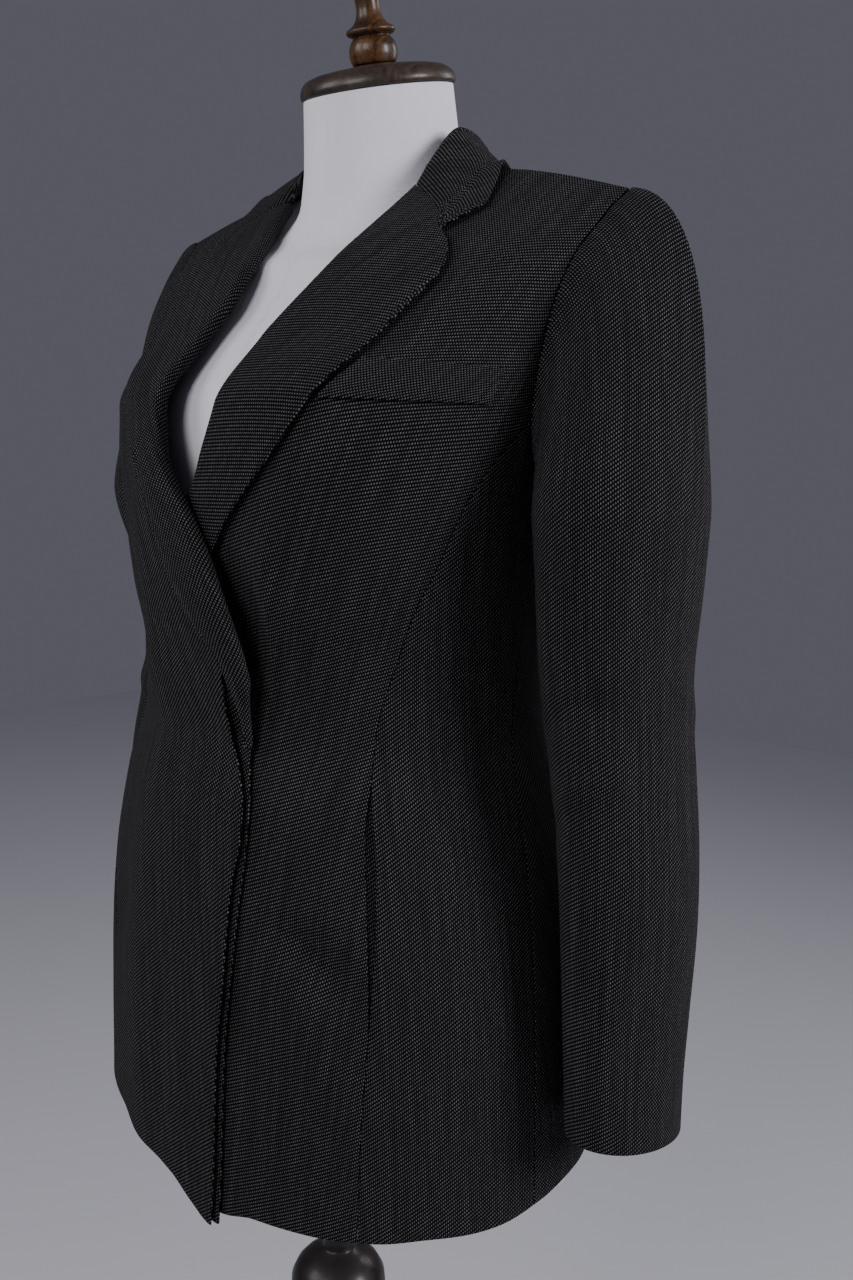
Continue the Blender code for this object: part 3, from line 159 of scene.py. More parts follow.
# Size of the right lapel's roll, and its sink into the fly: (height, size, sink).
FOOT_SHAPE = (
    (0.290, 0.16, 0.0008), (0.305, 0.20, 0.0006), (0.322, 0.40, 0.0004),
    (0.340, 0.80, 0.0), (0.356, 1.0, 0.0),
)
LAPEL_TOP = ((37.8, 0.578), (38.3, 0.585), (36.8, 0.594), (33.0, 0.601), (28.8, 0.608))
GORGE = ((28.8, 0.608), (19.8, 0.627), (12.2, 0.660))

# How far the wearer's right front lies out over the left one: (height, lift).
OVERLAP_LIFT = (
    (-0.040, 0.0062), (0.250, 0.0064), (0.300, 0.0082), (0.335, 0.0130), (0.400, 0.0132),
    (0.455, 0.0132), (0.490, 0.0060), (0.520, 0.0030), (0.560, 0.0010), (0.600, 0.0000), (0.660, 0.0000),
)
OVERLAP_FULL_ANGLE, OVERLAP_FADE_ANGLE = -13.0, -30.0

# The large folds, which the solids have too. Slant is in degrees for each metre of height.
FOLD_COLUMNS = ("side", "angle", "height", "angle_spread", "height_spread", "slant", "depth")
FOLDS = (
    ("left", 12.0, 0.362, 7.5, 0.034, -60.0, -0.0070),
    ("left", 26.0, 0.372, 7.5, 0.040, -120.0, 0.0035),
    ("left", 33.0, 0.150, 7.0, 0.045, -160.0, -0.0030),
    ("left", 26.0, 0.120, 6.0, 0.050, -160.0, 0.0025),
    ("right", -24.0, 0.330, 7.0, 0.040, 100.0, 0.0030),
    ("right", -30.0, 0.470, 22.0, 0.075, 0.0, -0.0090),
    ("right", -34.0, 0.150, 7.0, 0.060, 120.0, -0.0030),
    ("back", 150.0, 0.300, 16.0, 0.016, 0.0, 0.0030),
    ("back", -150.0, 0.300, 16.0, 0.016, 0.0, 0.0030),
)

# Rows and columns of the shells' meshes. A row of every front lies at the foot of the roll.
ROLL_FOOT = 0.335
HIP_ROWS, BUST_ROWS, HIGH_ROWS = 9 * FINE, 5 * FINE, 8 * FINE
SIDE_COLUMNS, SHOULDER_COLUMNS = 4 * FINE, 7 * FINE
NECK_COLUMNS, FRONT_NECK_COLUMNS = 3 * FINE, 2 * FINE

# Sleeve sections below the armhole: centre, half widths across and front to back.
SLEEVE_COLUMNS = ("height", "centre_x", "centre_y", "half_across", "half_deep")
SLEEVE_LEVELS = (
    (0.440, 0.2105, 0.017, 0.0485, 0.0670),
    (0.400, 0.2108, 0.018, 0.0460, 0.0640),
    (0.360, 0.2105, 0.019, 0.0435, 0.0610),
    (0.320, 0.2122, 0.021, 0.0415, 0.0590),
    (0.280, 0.2172, 0.023, 0.0405, 0.0575),
    (0.230, 0.2240, 0.022, 0.0395, 0.0565),
    (0.180, 0.2285, 0.020, 0.0380, 0.0550),
    (0.120, 0.2312, 0.017, 0.0350, 0.0515),
    (0.080, 0.2330, 0.015, 0.0332, 0.0490),
    (0.0495, 0.2345, 0.014, 0.0325, 0.0480),
)
# The wearer's right sleeve hangs closer in and further back: (height, in, back).
RIGHT_SLEEVE_SHIFT = (
    (0.040, 0.005, 0.013), (0.120, 0.005, 0.014), (0.230, 0.005, 0.020), (0.310, 0.008, 0.026),
    (0.360, 0.008, 0.028), (0.440, 0.000, 0.015), (0.490, 0.002, 0.016), (0.520, 0.008, 0.019),
    (0.560, 0.0095, 0.022), (0.660, 0.008, 0.022),
)
CAP_UNDER_HEIGHT, CAP_UNDER_SPAN = 0.490, 0.030    # below it the sleeve doubles back at its seam
SLEEVE_SEAM_GAP = 0.00006     # by which each piece stands back from the sleeve's seams
ARMHOLE_GAP = 0.0008          # each sleeve's top edge stands this far out of its armhole
SLEEVE_CAP_ROWS, SLEEVE_ROWS = 6 * FINE, 100
SLEEVE_HEAD_FULLNESS = 0.949  # how strongly the sleeve head swells out before it falls
SLEEVE_HEAD_RISE = -0.0422    # how strongly it rises first at the shoulder end; below 0, it falls
CAP_FLARE = 0.145             # how far it leans the way the body's surface faces
CAP_UNDER_SHARE = 0.3         # of the fullness, at the underarm
CAP_LEAST_OUT = 0.4           # of the body's outward direction, to the side
CAP_UNDER_DROP = 0.4          # how far the first row turns down at the underarm
CAP_FALL = 0.712              # how straight it falls at the foot of the cap
CUFF_SLANT = 0.006            # the cuff hangs lower at the back by this much
HIND_SEAM_ANGLE = -30.0       # round the sleeve: 0 outermost, 90 front, 180 inner side
FRONT_SEAM_ANGLE = 165.0

# Lapel sections. Distances across from the roll line, heights above the front.
ROLL_RADIUS = 0.0042
ROLL_CENTRE_IN = 0.0035
ROLL_CENTRE_UP = 0.0002
ROLL_TUCK = 0.0020
LAPEL_LIE = 0.0048            # of the lapel's middle plane above the front
LAPEL_BELLY = 0.0012          # how far it bows up between roll and edge
LAPEL_BELLY_WIDTH = 0.030     # a narrower lapel bows less
FRONT_PULL_BACK = 0.0027      # the front's edge stops short of the turned roll
LAPEL_STEPS, ROLL_STEPS = 24, 12
LAPEL_ROWS = BUST_ROWS + HIGH_ROWS + 1
LAPEL_NOTCH_ROW = 10 * FINE   # the row that ends at the lapel's point
BED_TERMS = 6                 # of the smooth curves that a lapel lies on
BEND_ROWS = 3 * FINE          # rows over which a lapel bends to follow the gorge seam

# Collar: places of its neck seam, its roll and its outer edge from the gorge to the centre back.
COLLAR_COLUMNS = ("share", "seam_x", "seam_y", "seam_z", "roll_x", "roll_y", "roll_z",
                  "edge_x", "edge_y", "edge_z")
COLLAR_SECTIONS = (
    (0.00, 0.0590, 0.0000, 0.6465, 0.0590, 0.0000, 0.6520, 0.1207, -0.0112, 0.6275),
    (0.14, 0.0665, 0.0090, 0.6520, 0.0630, 0.0080, 0.6690, 0.1146, 0.0076, 0.6450),
    (0.28, 0.0730, 0.0260, 0.6610, 0.0660, 0.0270, 0.6870, 0.1070, 0.0260, 0.6610),
    (0.52, 0.0660, 0.0550, 0.6600, 0.0600, 0.0560, 0.6818, 0.0860, 0.0730, 0.6490),
    (0.76, 0.0410, 0.0815, 0.6530, 0.0385, 0.0800, 0.6800, 0.0520, 0.0985, 0.6430),
    (1.00, 0.0000, 0.0920, 0.6510, 0.0000, 0.0900, 0.6795, 0.0000, 0.1090, 0.6380),
)
COLLAR_END_GAP = 0.0006       # between the collar's ends and the lapels' at the gorge
COLLAR_HALF_COLUMNS = 61
COLLAR_ROLL_RADIUS = 0.0034
COLLAR_BELLY = 0.0008         # how far its fall bows out between roll and edge
COLLAR_SETTLE, COLLAR_SETTLE_TO = (0.0, 0.0095), 0.55    # left and right, and the share where it ends
STAND_STEPS = 8
GORGE_BLEND = 26              # columns over which the collar's end turns to lie along the gorge
GORGE_RAMP = 0.7              # how soon its roll takes the lapel's place there

# Chest welt on the wearer's left front, and the hip pockets in the princess seams.
WELT_FROM, WELT_FROM_TOP, WELT_TO = 29.8, 34.2, 70.0
WELT_BOTTOM, WELT_TOP = 0.5045, 0.5285
WELT_WALL, WELT_GAP = 0.0016, 0.0008
WELT_ROWS, WELT_COLUMNS = 13, 61
# How far the mouth stands open on each side of the seam: (height, gap).
POCKET_MOUTH = (
    (0.123, 0.0), (0.150, 0.0013), (0.190, 0.0027), (0.228, 0.0038), (0.250, 0.0024), (0.274, 0.0),
)
POCKET_BACK_ROWS = (3 * FINE, 8 * FINE + 1)     # rows of the seam that it runs between
POCKET_BACK_COLUMNS = 3       # of each of the panels it lies behind
POCKET_BACK_GAP = 0.0006

# Dress form.
FORM_COLUMNS = ("height", "half_width", "front", "back", "middle_y", "square", "wing", "wing_depth")
FORM_LEVELS = (
    (-0.018, 0.186, 0.126, 0.130, 0.000, 2.00, 0.000, 0.000),
    (-0.012, 0.193, 0.132, 0.137, 0.000, 2.00, 0.000, 0.000),
    (0.000, 0.195, 0.134, 0.139, 0.000, 2.00, 0.000, 0.000),
    (0.060, 0.193, 0.135, 0.137, 0.000, 2.00, 0.000, 0.000),
    (0.120, 0.187, 0.135, 0.131, 0.000, 2.00, 0.000, 0.000),
    (0.190, 0.175, 0.131, 0.120, 0.000, 2.05, 0.000, 0.000),
    (0.250, 0.158, 0.122, 0.107, 0.000, 2.05, 0.000, 0.000),
    (0.300, 0.144, 0.111, 0.098, 0.000, 2.05, 0.000, 0.000),
    (0.340, 0.142, 0.110, 0.096, 0.000, 2.05, 0.000, 0.000),
    (0.385, 0.145, 0.118, 0.099, 0.000, 2.10, 0.000, 0.000),
    (0.430, 0.149, 0.124, 0.106, 0.000, 2.15, 0.000, 0.000),
    (0.465, 0.153, 0.124, 0.112, 0.000, 2.20, 0.000, 0.000),
    (0.500, 0.158, 0.119, 0.115, 0.000, 2.20, 0.000, 0.000),
    (0.540, 0.168, 0.099, 0.114, 0.004, 2.20, 0.100, 0.060),
    (0.570, 0.168, 0.083, 0.105, 0.012, 2.20, 0.120, 0.060),
    (0.595, 0.140, 0.072, 0.094, 0.022, 2.10, 0.172, 0.070),
    (0.613, 0.092, 0.063, 0.078, 0.030, 2.00, 0.172, 0.050),
    (0.627, 0.066, 0.058, 0.066, 0.030, 2.00, 0.168, 0.036),
    (0.636, 0.061, 0.056, 0.060, 0.030, 2.00, 0.162, 0.026),
    (0.644, 0.059, 0.055, 0.058, 0.030, 2.00, 0.1445, 0.014),
    (0.650, 0.058, 0.055, 0.057, 0.030, 2.00, 0.1200, 0.0085),
    (0.6555, 0.057, 0.055, 0.056, 0.030, 2.00, 0.0900, 0.0045),
    (0.660, 0.056, 0.055, 0.055, 0.030, 2.00, 0.0500, 0.0040),
    (0.675, 0.0555, 0.054, 0.054, 0.029, 2.00, 0.000, 0.000),
    (0.695, 0.0535, 0.0525, 0.0525, 0.026, 2.00, 0.000, 0.000),
)
FORM_BLEND = 8                # how sharply the neck and the shoulders run into each other
FORM_COLUMNS_ROUND, FORM_ROWS, NECK_RINGS = 128, 150, 8
FORM_SHARP, WOOD_SHARP = 50, 60    # degrees from which an edge is shaded sharp
FORM_NECK_RADIUS = 0.0515
FORM_NECK_TOP_HEIGHT, FORM_NECK_TOP_Y = 0.7165, 0.0225
NECK_TILT = 13.0              # degrees, the neck cap leans to the front

# Turned wood. Profiles are rows of (radius, height), from the top down the outer side.
CAP_PROFILE = (
    (0.0000, 0.0160), (0.0200, 0.0160), (0.0215, 0.0150), (0.0360, 0.0136),
    (0.0465, 0.0118), (0.0515, 0.0084), (0.0537, 0.0040), (0.0539, 0.0008),
    (0.0520, -0.0010), (0.0480, -0.0010), (0.0000, -0.0010),
)
FINIAL_PROFILE = (
    (0.0000, 0.0680), (0.0060, 0.0670), (0.0100, 0.0635), (0.0115, 0.0590), (0.0106, 0.0540),
    (0.0095, 0.0490), (0.0086, 0.0430), (0.0079, 0.0370), (0.0082, 0.0330), (0.0096, 0.0285),
    (0.0124, 0.0250), (0.0158, 0.0232), (0.0170, 0.0219), (0.0166, 0.0203), (0.0150, 0.0190),
    (0.0120, 0.0180), (0.0140, 0.0162), (0.0160, 0.0125), (0.0167, 0.0080), (0.0160, 0.0035),
    (0.0140, 0.0000), (0.0000, 0.0000),
)
POST_RADIUS = 0.0110
BULB_RADIUS, BULB_HEIGHT = 0.0370, 0.0600
BULB_TOP = -0.132             # from the hem level
BULB_NECK = 0.001             # the straight post runs this far into the bulb's top
BULB_TURNS = range(68, -69, -17)    # degrees round its outline, 90 at its top
COLUMN_RADIUS = 0.0170
COLUMN_NECK = 0.006           # from the bulb down to the column
COLUMN_FOOT = ((0.0187, 0.100), (0.0255, 0.030), (0.0357, 0.008), (0.0357, 0.000))   # radius, above the base
BASE_RADIUS, BASE_THICKNESS = 0.180, 0.026
BASE_ROUND, BASE_CHAMFER, BASE_MIDDLE = 0.012, 0.003, 0.051
TURNED_STEPS, BASE_STEPS, RIM_STEPS = 20, 32, 8
# How far the pads raise the shoulders: (distance from the middle, lift), and the height they fade from.
PAD_LIFT = (
    (0.000, 0.0), (0.097, 0.0), (0.108, 0.0008), (0.125, 0.0022), (0.150, 0.0028), (0.175, 0.0022),
    (0.200, 0.0014), (0.260, 0.0014),
)
PAD_FOOT = 0.580
LAPEL_GRAIN_LEAN = 14.0       # degrees that the grain leans from the roll towards the lapel's edge
LAPEL_WAVE = 0.0008           # height of the lapels' gentle waves
LAPEL_WAVE_RUN = 9.4          # radians of wave from foot to gorge
LAPEL_WAVE_START = {"left": 0.4, "right": 1.7}
COLLAR_GRAIN_TURN = 35.7      # degrees that the collar's cut turns from its middle to each end
SIDE_GRAIN, BACK_GRAIN = 62.0, 179.0    # angles at which the side fronts' and the backs' grain stands
FORM_GIRTH_RADIUS = 0.15      # turns angles round the form into metres of its cover
# The cover's turn under the form's edge: (share of the way out from the middle, rise).
FORM_RIM = ((0.94, -0.0001), (0.985, 0.0004), (1.0, 0.0020))
# How far the cover hangs below the form's edge, or stands above it where below 0: (angle, drop).
COVER_SAG = (
    (-180.0, -0.0040), (-110.0, -0.0060), (-60.0, 0.0), (-20.0, 0.003), (10.0, 0.006), (30.0, 0.008),
    (46.0, 0.010), (54.0, 0.0076), (62.0, 0.0066), (70.0, 0.0036), (78.0, -0.0030), (86.0, -0.0080),
    (110.0, -0.0090), (180.0, -0.0040),
)
SAG_TOP, SAG_SPAN = 0.020, 0.038    # height at which the sag has faded out, and over which
SIDES = {1: "left", -1: "right"}
HEMS = {1: HEM_LEFT, -1: HEM_RIGHT_FRONT}


# ---------------------------------------------------------------- curves and the torso surface
def smooth_curve(knots, values, at):
    """Monotone cubic through the knots, which keeps each table's highs and lows where they are."""
    knots, values, at = (np.asarray(v, float) for v in (knots, values, at))
    step = np.diff(knots)
    slope = np.diff(values) / step
    tangent = np.empty_like(values)
    tangent[0], tangent[-1] = slope[0], slope[-1]
    before, after = slope[:-1], slope[1:]
    same = before * after > 0
    safe_before = np.where(same, before, 1.0)
    safe_after = np.where(same, after, 1.0)
    w1, w2 = 2 * step[1:] + step[:-1], step[1:] + 2 * step[:-1]
    tangent[1:-1] = np.where(same, (w1 + w2) / (w1 / safe_before + w2 / safe_after), 0.0)
    i = np.clip(np.searchsorted(knots, at) - 1, 0, len(knots) - 2)
    t = np.clip((at - knots[i]) / step[i], 0.0, 1.0)
    return (
        (1 + 2 * t) * (1 - t) ** 2 * values[i]
        + t * (1 - t) ** 2 * step[i] * tangent[i]
        + t * t * (3 - 2 * t) * values[i + 1]
        + t * t * (t - 1) * step[i] * tangent[i + 1]
    )


def read(rows, at, key=0, value=1):
    """One column of a table as a smooth curve of another, at the given values of that one."""
    table = np.asarray(rows, float)
    return smooth_curve(table[:, key], table[:, value], at)


def soft(share):
    """A share held between 0 and 1, with a gentle start and end."""
    share = np.clip(share, 0, 1)
    return share * share * (3 - 2 * share)


def table_at(rows, columns, at):
    """Every column of a table by name, at the given values of the first."""
    table = np.array(sorted(rows))
    curves = {name: smooth_curve(table[:, 0], table[:, k], at) for k, name in enumerate(columns) if k}
    return {columns[0]: np.asarray(at)} | curves


def sections_at(rows, columns, at):
    """The same as one dict for each of the given values."""
    table = table_at(rows, columns, at)
    return [{name: values[k] for name, values in table.items()} for k in range(len(at))]


def shoulder_height(x):
    """Height of the shoulders' ridge at a distance from the middle."""
    return SHOULDER_PEAK - SHOULDER_SLOPE * np.abs(x)


def top_line(x, back):
    """Depth and height of the shoulder line, and of the neckline between the two neck points."""
    inside = np.sqrt(np.clip(1 - (np.abs(x) / NECK_HALF_WIDTH) ** 2, 0, 1))
    y = NECK_MIDDLE_Y + np.where(back, NECK_BACK_DEPTH, -NECK_FRONT_DEPTH) * inside
    drop = np.where(back, NECK_BACK_DROP, NECK_FRONT_DROP) * inside
    return y, shoulder_height(np.maximum(np.abs(x), NECK_HALF_WIDTH)) - drop


def torso(angle, height):
    """Points of the torso surface, which is the jacket's outer face where nothing lies on it."""
    angle, height = np.broadcast_arrays(np.asarray(angle, float), np.asarray(height, float))
    level = table_at(TORSO_LEVELS, TORSO_COLUMNS, height)
    turn = np.radians(angle)
    sine, cosine = np.sin(turn), np.cos(turn)
    power = 2 / level["square"]
    back = cosine < 0
    away = np.abs(angle)
    bulge = level["bust"] * np.exp(-(((away - BUST_ANGLE) / BUST_SPREAD) ** 2))
    side = level["bust"] * BUST_SIDE_SHARE * np.exp(-(((away - BUST_SIDE_ANGLE) / BUST_SIDE_SPREAD) ** 2))
    x = np.sign(sine) * (level["half_width"] * np.abs(sine) ** power + side)
    y = np.where(back, level["back"], -level["front"]) * np.abs(cosine) ** power - np.where(back, 0, bulge)
    share = np.clip((height - CHEST_HEIGHT) / (TOP_HEIGHT - CHEST_HEIGHT), 0, 1)
    close = np.where(share > 0, np.where(back, level["back_close"], level["front_close"]), 0)
    top_y, top_z = top_line(x, back)
    y = y + (top_y - y) * close
    z = np.where(share > 0, CHEST_HEIGHT + (top_z - CHEST_HEIGHT) * share, height)
    return np.stack([x, y, z], -1)


def unit(vectors):
    """Vectors made one long."""
    return vectors / np.maximum(np.linalg.norm(vectors, axis=-1, keepdims=True), 1e-12)


def torso_normal(angle, height):
    """Outward directions, which front and back share where they meet on the shoulder line."""
    angle, height = np.broadcast_arrays(np.asarray(angle, float), np.asarray(height, float))
    step_angle, step_height = 0.06, 0.001
    level = np.clip(height, TORSO_LEVELS[0][0] + step_height, TOP_HEIGHT - 1.5 * step_height)
    across = torso(angle + step_angle, level) - torso(angle - step_angle, level)
    up = torso(angle, level + step_height) - torso(angle, level - step_height)
    own = unit(np.cross(across, up))
    ridge = np.stack([np.sign(angle) * SHOULDER_SLOPE, 0 * angle, 1 + 0 * angle], -1)
    from_middle = np.minimum(np.abs(angle), 180 - np.abs(angle))
    share = np.clip((height - RIDGE_FROM) / (TOP_HEIGHT - RIDGE_FROM), 0, 1)
    share = share * np.clip(from_middle / NECK_POINT_ANGLE * 2 - 1, 0, 1)
    return unit(own + (unit(ridge) - own) * share[..., None])


def fold_lift(side, angle, height):
    """The soft ridges and troughs of one side's cloth."""
    lift = np.zeros(np.broadcast(angle, height).shape)
    for row in FOLDS:
        fold = dict(zip(FOLD_COLUMNS, row))
        if fold["side"] != side:
            continue
        across = (angle - fold["angle"] - fold["slant"] * (height - fold["height"])) / fold["angle_spread"]
        along = (height - fold["height"]) / fold["height_spread"]
        lift = lift + fold["depth"] * np.exp(-(across**2) - along**2)
    return lift


def overlap_lift(angle, height):
    """The wearer's right front rises where the left front and its lapel lie under it."""
    share = (angle - OVERLAP_FADE_ANGLE) / (OVERLAP_FULL_ANGLE - OVERLAP_FADE_ANGLE)
    return read(OVERLAP_LIFT, height) * soft(share)


def pad_lift(angle, height):
    """The shoulder pads raise the shoulders between the neck and the sleeve."""
    from_middle = np.abs(torso(angle, height)[..., 0])
    return read(PAD_LIFT, from_middle) * soft((height - PAD_FOOT) / (TOP_HEIGHT - PAD_FOOT))


def cloth_lift(side, angle, height):
    """How far one side's cloth lies out from the torso surface."""
    lift = fold_lift(side, angle, height) + crease_lift(side, angle, height) + pad_lift(angle, height)
    return lift + overlap_lift(angle, height) if side == "right" else lift


def on_cloth(side, places, above=0.0):
    """Points above a side's outer face; places is an array of (angle, height)."""
    angle, height = places[..., 0], places[..., 1]
    lift = cloth_lift(side, angle, height) + above
    return torso(angle, height) + torso_normal(angle, height) * np.asarray(lift)[..., None]


# ---------------------------------------------------------------- seams
def along(rows, count, by_height=True):
    """count + 1 places evenly spread on a seam's table, which is read as one smooth line."""
    table = np.array(rows, float)
    key = table[:, 1] if by_height else run_lengths(table * SEAM_SCALE)
    at = np.linspace(key[0], key[-1], count + 1)
    order = slice(None, None, 1 if key[-1] > key[0] else -1)
    return np.stack([smooth_curve(key[order], table[order, k], at) for k in (0, 1)], -1)


def at_heights(rows, heights):
    """Places at the given heights on a line of (angle, height) rows."""
    return np.stack([read(rows, heights, key=1, value=0), heights], -1)


def from_hem(seam, hem):
    """A seam's rows with its lowest place put on the hem."""
    (angle, _), *rest = seam
    return [(angle, float(read(hem, angle))), *rest]


def hem_places(hem, start, end, count):
    """Places along a hem between two angles."""
    angle = np.linspace(start, end, count + 1)
    return np.stack([angle, read(hem, angle)], -1)


def top_places(sign, *angles):
    """Places along a panel's top edge, at angles of the left half given in one or more runs."""
    angle = sign * np.concatenate(angles)
    return np.stack([angle, np.full(len(angle), TOP_HEIGHT)], -1)


def joined(*paths):
    """Paths end to end, each shared place once."""
    return np.concatenate([paths[0]] + [path[1:] for path in paths[1:]])


def patch(left, right, bottom, top):
    """A Coons patch over four edges: places[row, column], from bottom to top and left to right."""
    t = np.linspace(0, 1, len(left))[:, None, None]
    s = np.linspace(0, 1, len(bottom))[None, :, None]
    sides = (1 - s) * left[:, None] + s * right[:, None]
    ends = (1 - t) * bottom[None] + t * top[None]
    corners = (
        (1 - s) * (1 - t) * bottom[0] + s * (1 - t) * bottom[-1] + (1 - s) * t * top[0] + s * t * top[-1]
    )
    return sides + ends - corners


def grid_faces(rows, columns, start, flip, wrap=False):
    """Faces of a grid whose points are numbered from start; wrap joins its last column to its first."""
    faces = []
    for i in range(rows - 1):
        for j in range(columns if wrap else columns - 1):
            k = (j + 1) % columns
            low, high = start + i * columns, start + (i + 1) * columns
            face = [low + j, low + k, high + k, high + j]
            faces.append(face[::-1] if flip else face)
    return faces


def pulled_in(grid, gap=SEAM_PULL, edges="lrbt"):
    """Moves a grid's edges in, so that two pieces that share a seam stand apart."""
    out, every = grid.copy(), slice(None)
    sides = {"l": ((every, 0), (every, 1)), "r": ((every, -1), (every, -2)), "b": (0, 1), "t": (-1, -2)}
    for here, inside in (sides[edge] for edge in edges):
        out[here] += unit(grid[inside] - grid[here]) * gap
    return out


def shift_across(places, column, distance):
    """Moves one edge column of a patch across the cloth by a distance in metres for each row."""
    here, nextdoor = places[:, column], places[:, 1 if column == 0 else -2]
    span = np.linalg.norm(torso(*nextdoor.T) - torso(*here.T), axis=-1)
    places[:, column] = here + (nextdoor - here) * np.clip(distance / span, -0.9, 0.9)[:, None]


# ---------------------------------------------------------------- jacket body
def shoulder_angles():
    """Angles of the shoulder seam's places, from the sleeve to the neck point."""
    return np.linspace(ARMHOLE_FRONT[-1][0], NECK_POINT_ANGLE, SHOULDER_COLUMNS + 1)


def row_shares():
    """Shares of the way up a front from its hem to the roll's foot, and on to the armhole."""
    return np.concatenate([np.linspace(0, 1, HIP_ROWS + 1), 1 + np.linspace(0, 1, BUST_ROWS + 1)[1:]])


def low_seam(seam, sign):
    """Places on a seam's lower part, one of them at the height of the roll's foot."""
    rows = from_hem(signed(seam, sign), HEMS[sign])
    return at_heights(rows, np.interp(row_shares(), (0, 1, 2), (rows[0][1], ROLL_FOOT, rows[-1][1])))


def pocket_gap(heights):
    """How far each of the two panels stands back from the seam at the hip pocket's mouth."""
    inside = (heights > POCKET_MOUTH[0][0]) & (heights < POCKET_MOUTH[-1][0])
    return np.where(inside, read(POCKET_MOUTH, heights), 0.0)


def front_places(sign):
    """The patch of one front. Its left column is the princess seam and the armhole."""
    outer = joined(low_seam(PRINCESS_SEAM, sign), along(signed(ARMHOLE_FRONT, sign), HIGH_ROWS))
    lower, roll = (LEFT_FRONT_EDGE, LEFT_ROLL[1:]) if sign > 0 else (RIGHT_FRONT_EDGE, RIGHT_ROLL[2:])
    rows = from_hem(lower, HEMS[sign]) + list(roll)
    outer_levels, levels = ((low, ROLL_FOOT, TOP_HEIGHT) for low in (outer[0, 1], rows[0][1]))
    edge = at_heights(rows, np.interp(outer[:, 1], outer_levels, levels))
    neckline = np.linspace(NECK_POINT_ANGLE, NECK_FRONT_ANGLE, FRONT_NECK_COLUMNS + 1)[1:]
    top = top_places(sign, shoulder_angles(), neckline)
    return patch(outer, edge, hem_places(HEMS[sign], outer[0, 0], edge[0, 0], len(top) - 1), top)


def signed(rows, sign):
    """Rows of the wearer's left half as they are, or mirrored to the right half for a sign of -1."""
    return [(sign * angle, height) for angle, height in rows]


def side_front_places(sign):
    """Places of a side front, from the princess seam to the side seam."""
    near, far = low_seam(PRINCESS_SEAM, sign), low_seam(SIDE_SEAM, sign)
    bottom = hem_places(HEMS[sign], near[0, 0], far[0, 0], SIDE_COLUMNS)
    return patch(near, far, bottom, along(signed(ARMHOLE_UNDER, sign), SIDE_COLUMNS, by_height=False))


def back_places(sign):
    """The patch of one back. Its left column is the side seam and the armhole."""
    armhole = along(signed(ARMHOLE_BACK, sign), HIGH_ROWS, by_height=False)
    near = joined(low_seam(SIDE_SEAM, sign), armhole)
    heights = np.interp(near[:, 1], [near[0, 1], near[-1, 1]], [dict(HEMS[sign])[180.0 * sign], TOP_HEIGHT])
    centre = np.stack([np.full(len(near), 180.0 * sign), heights], -1)
    neckline = np.linspace(180.0 - NECK_POINT_ANGLE, 180.0, NECK_COLUMNS + 1)[1:]
    top = top_places(sign, 180.0 - shoulder_angles(), neckline)
    return patch(near, centre, hem_places(HEMS[sign], near[0, 0], 180.0 * sign, len(top) - 1), top)


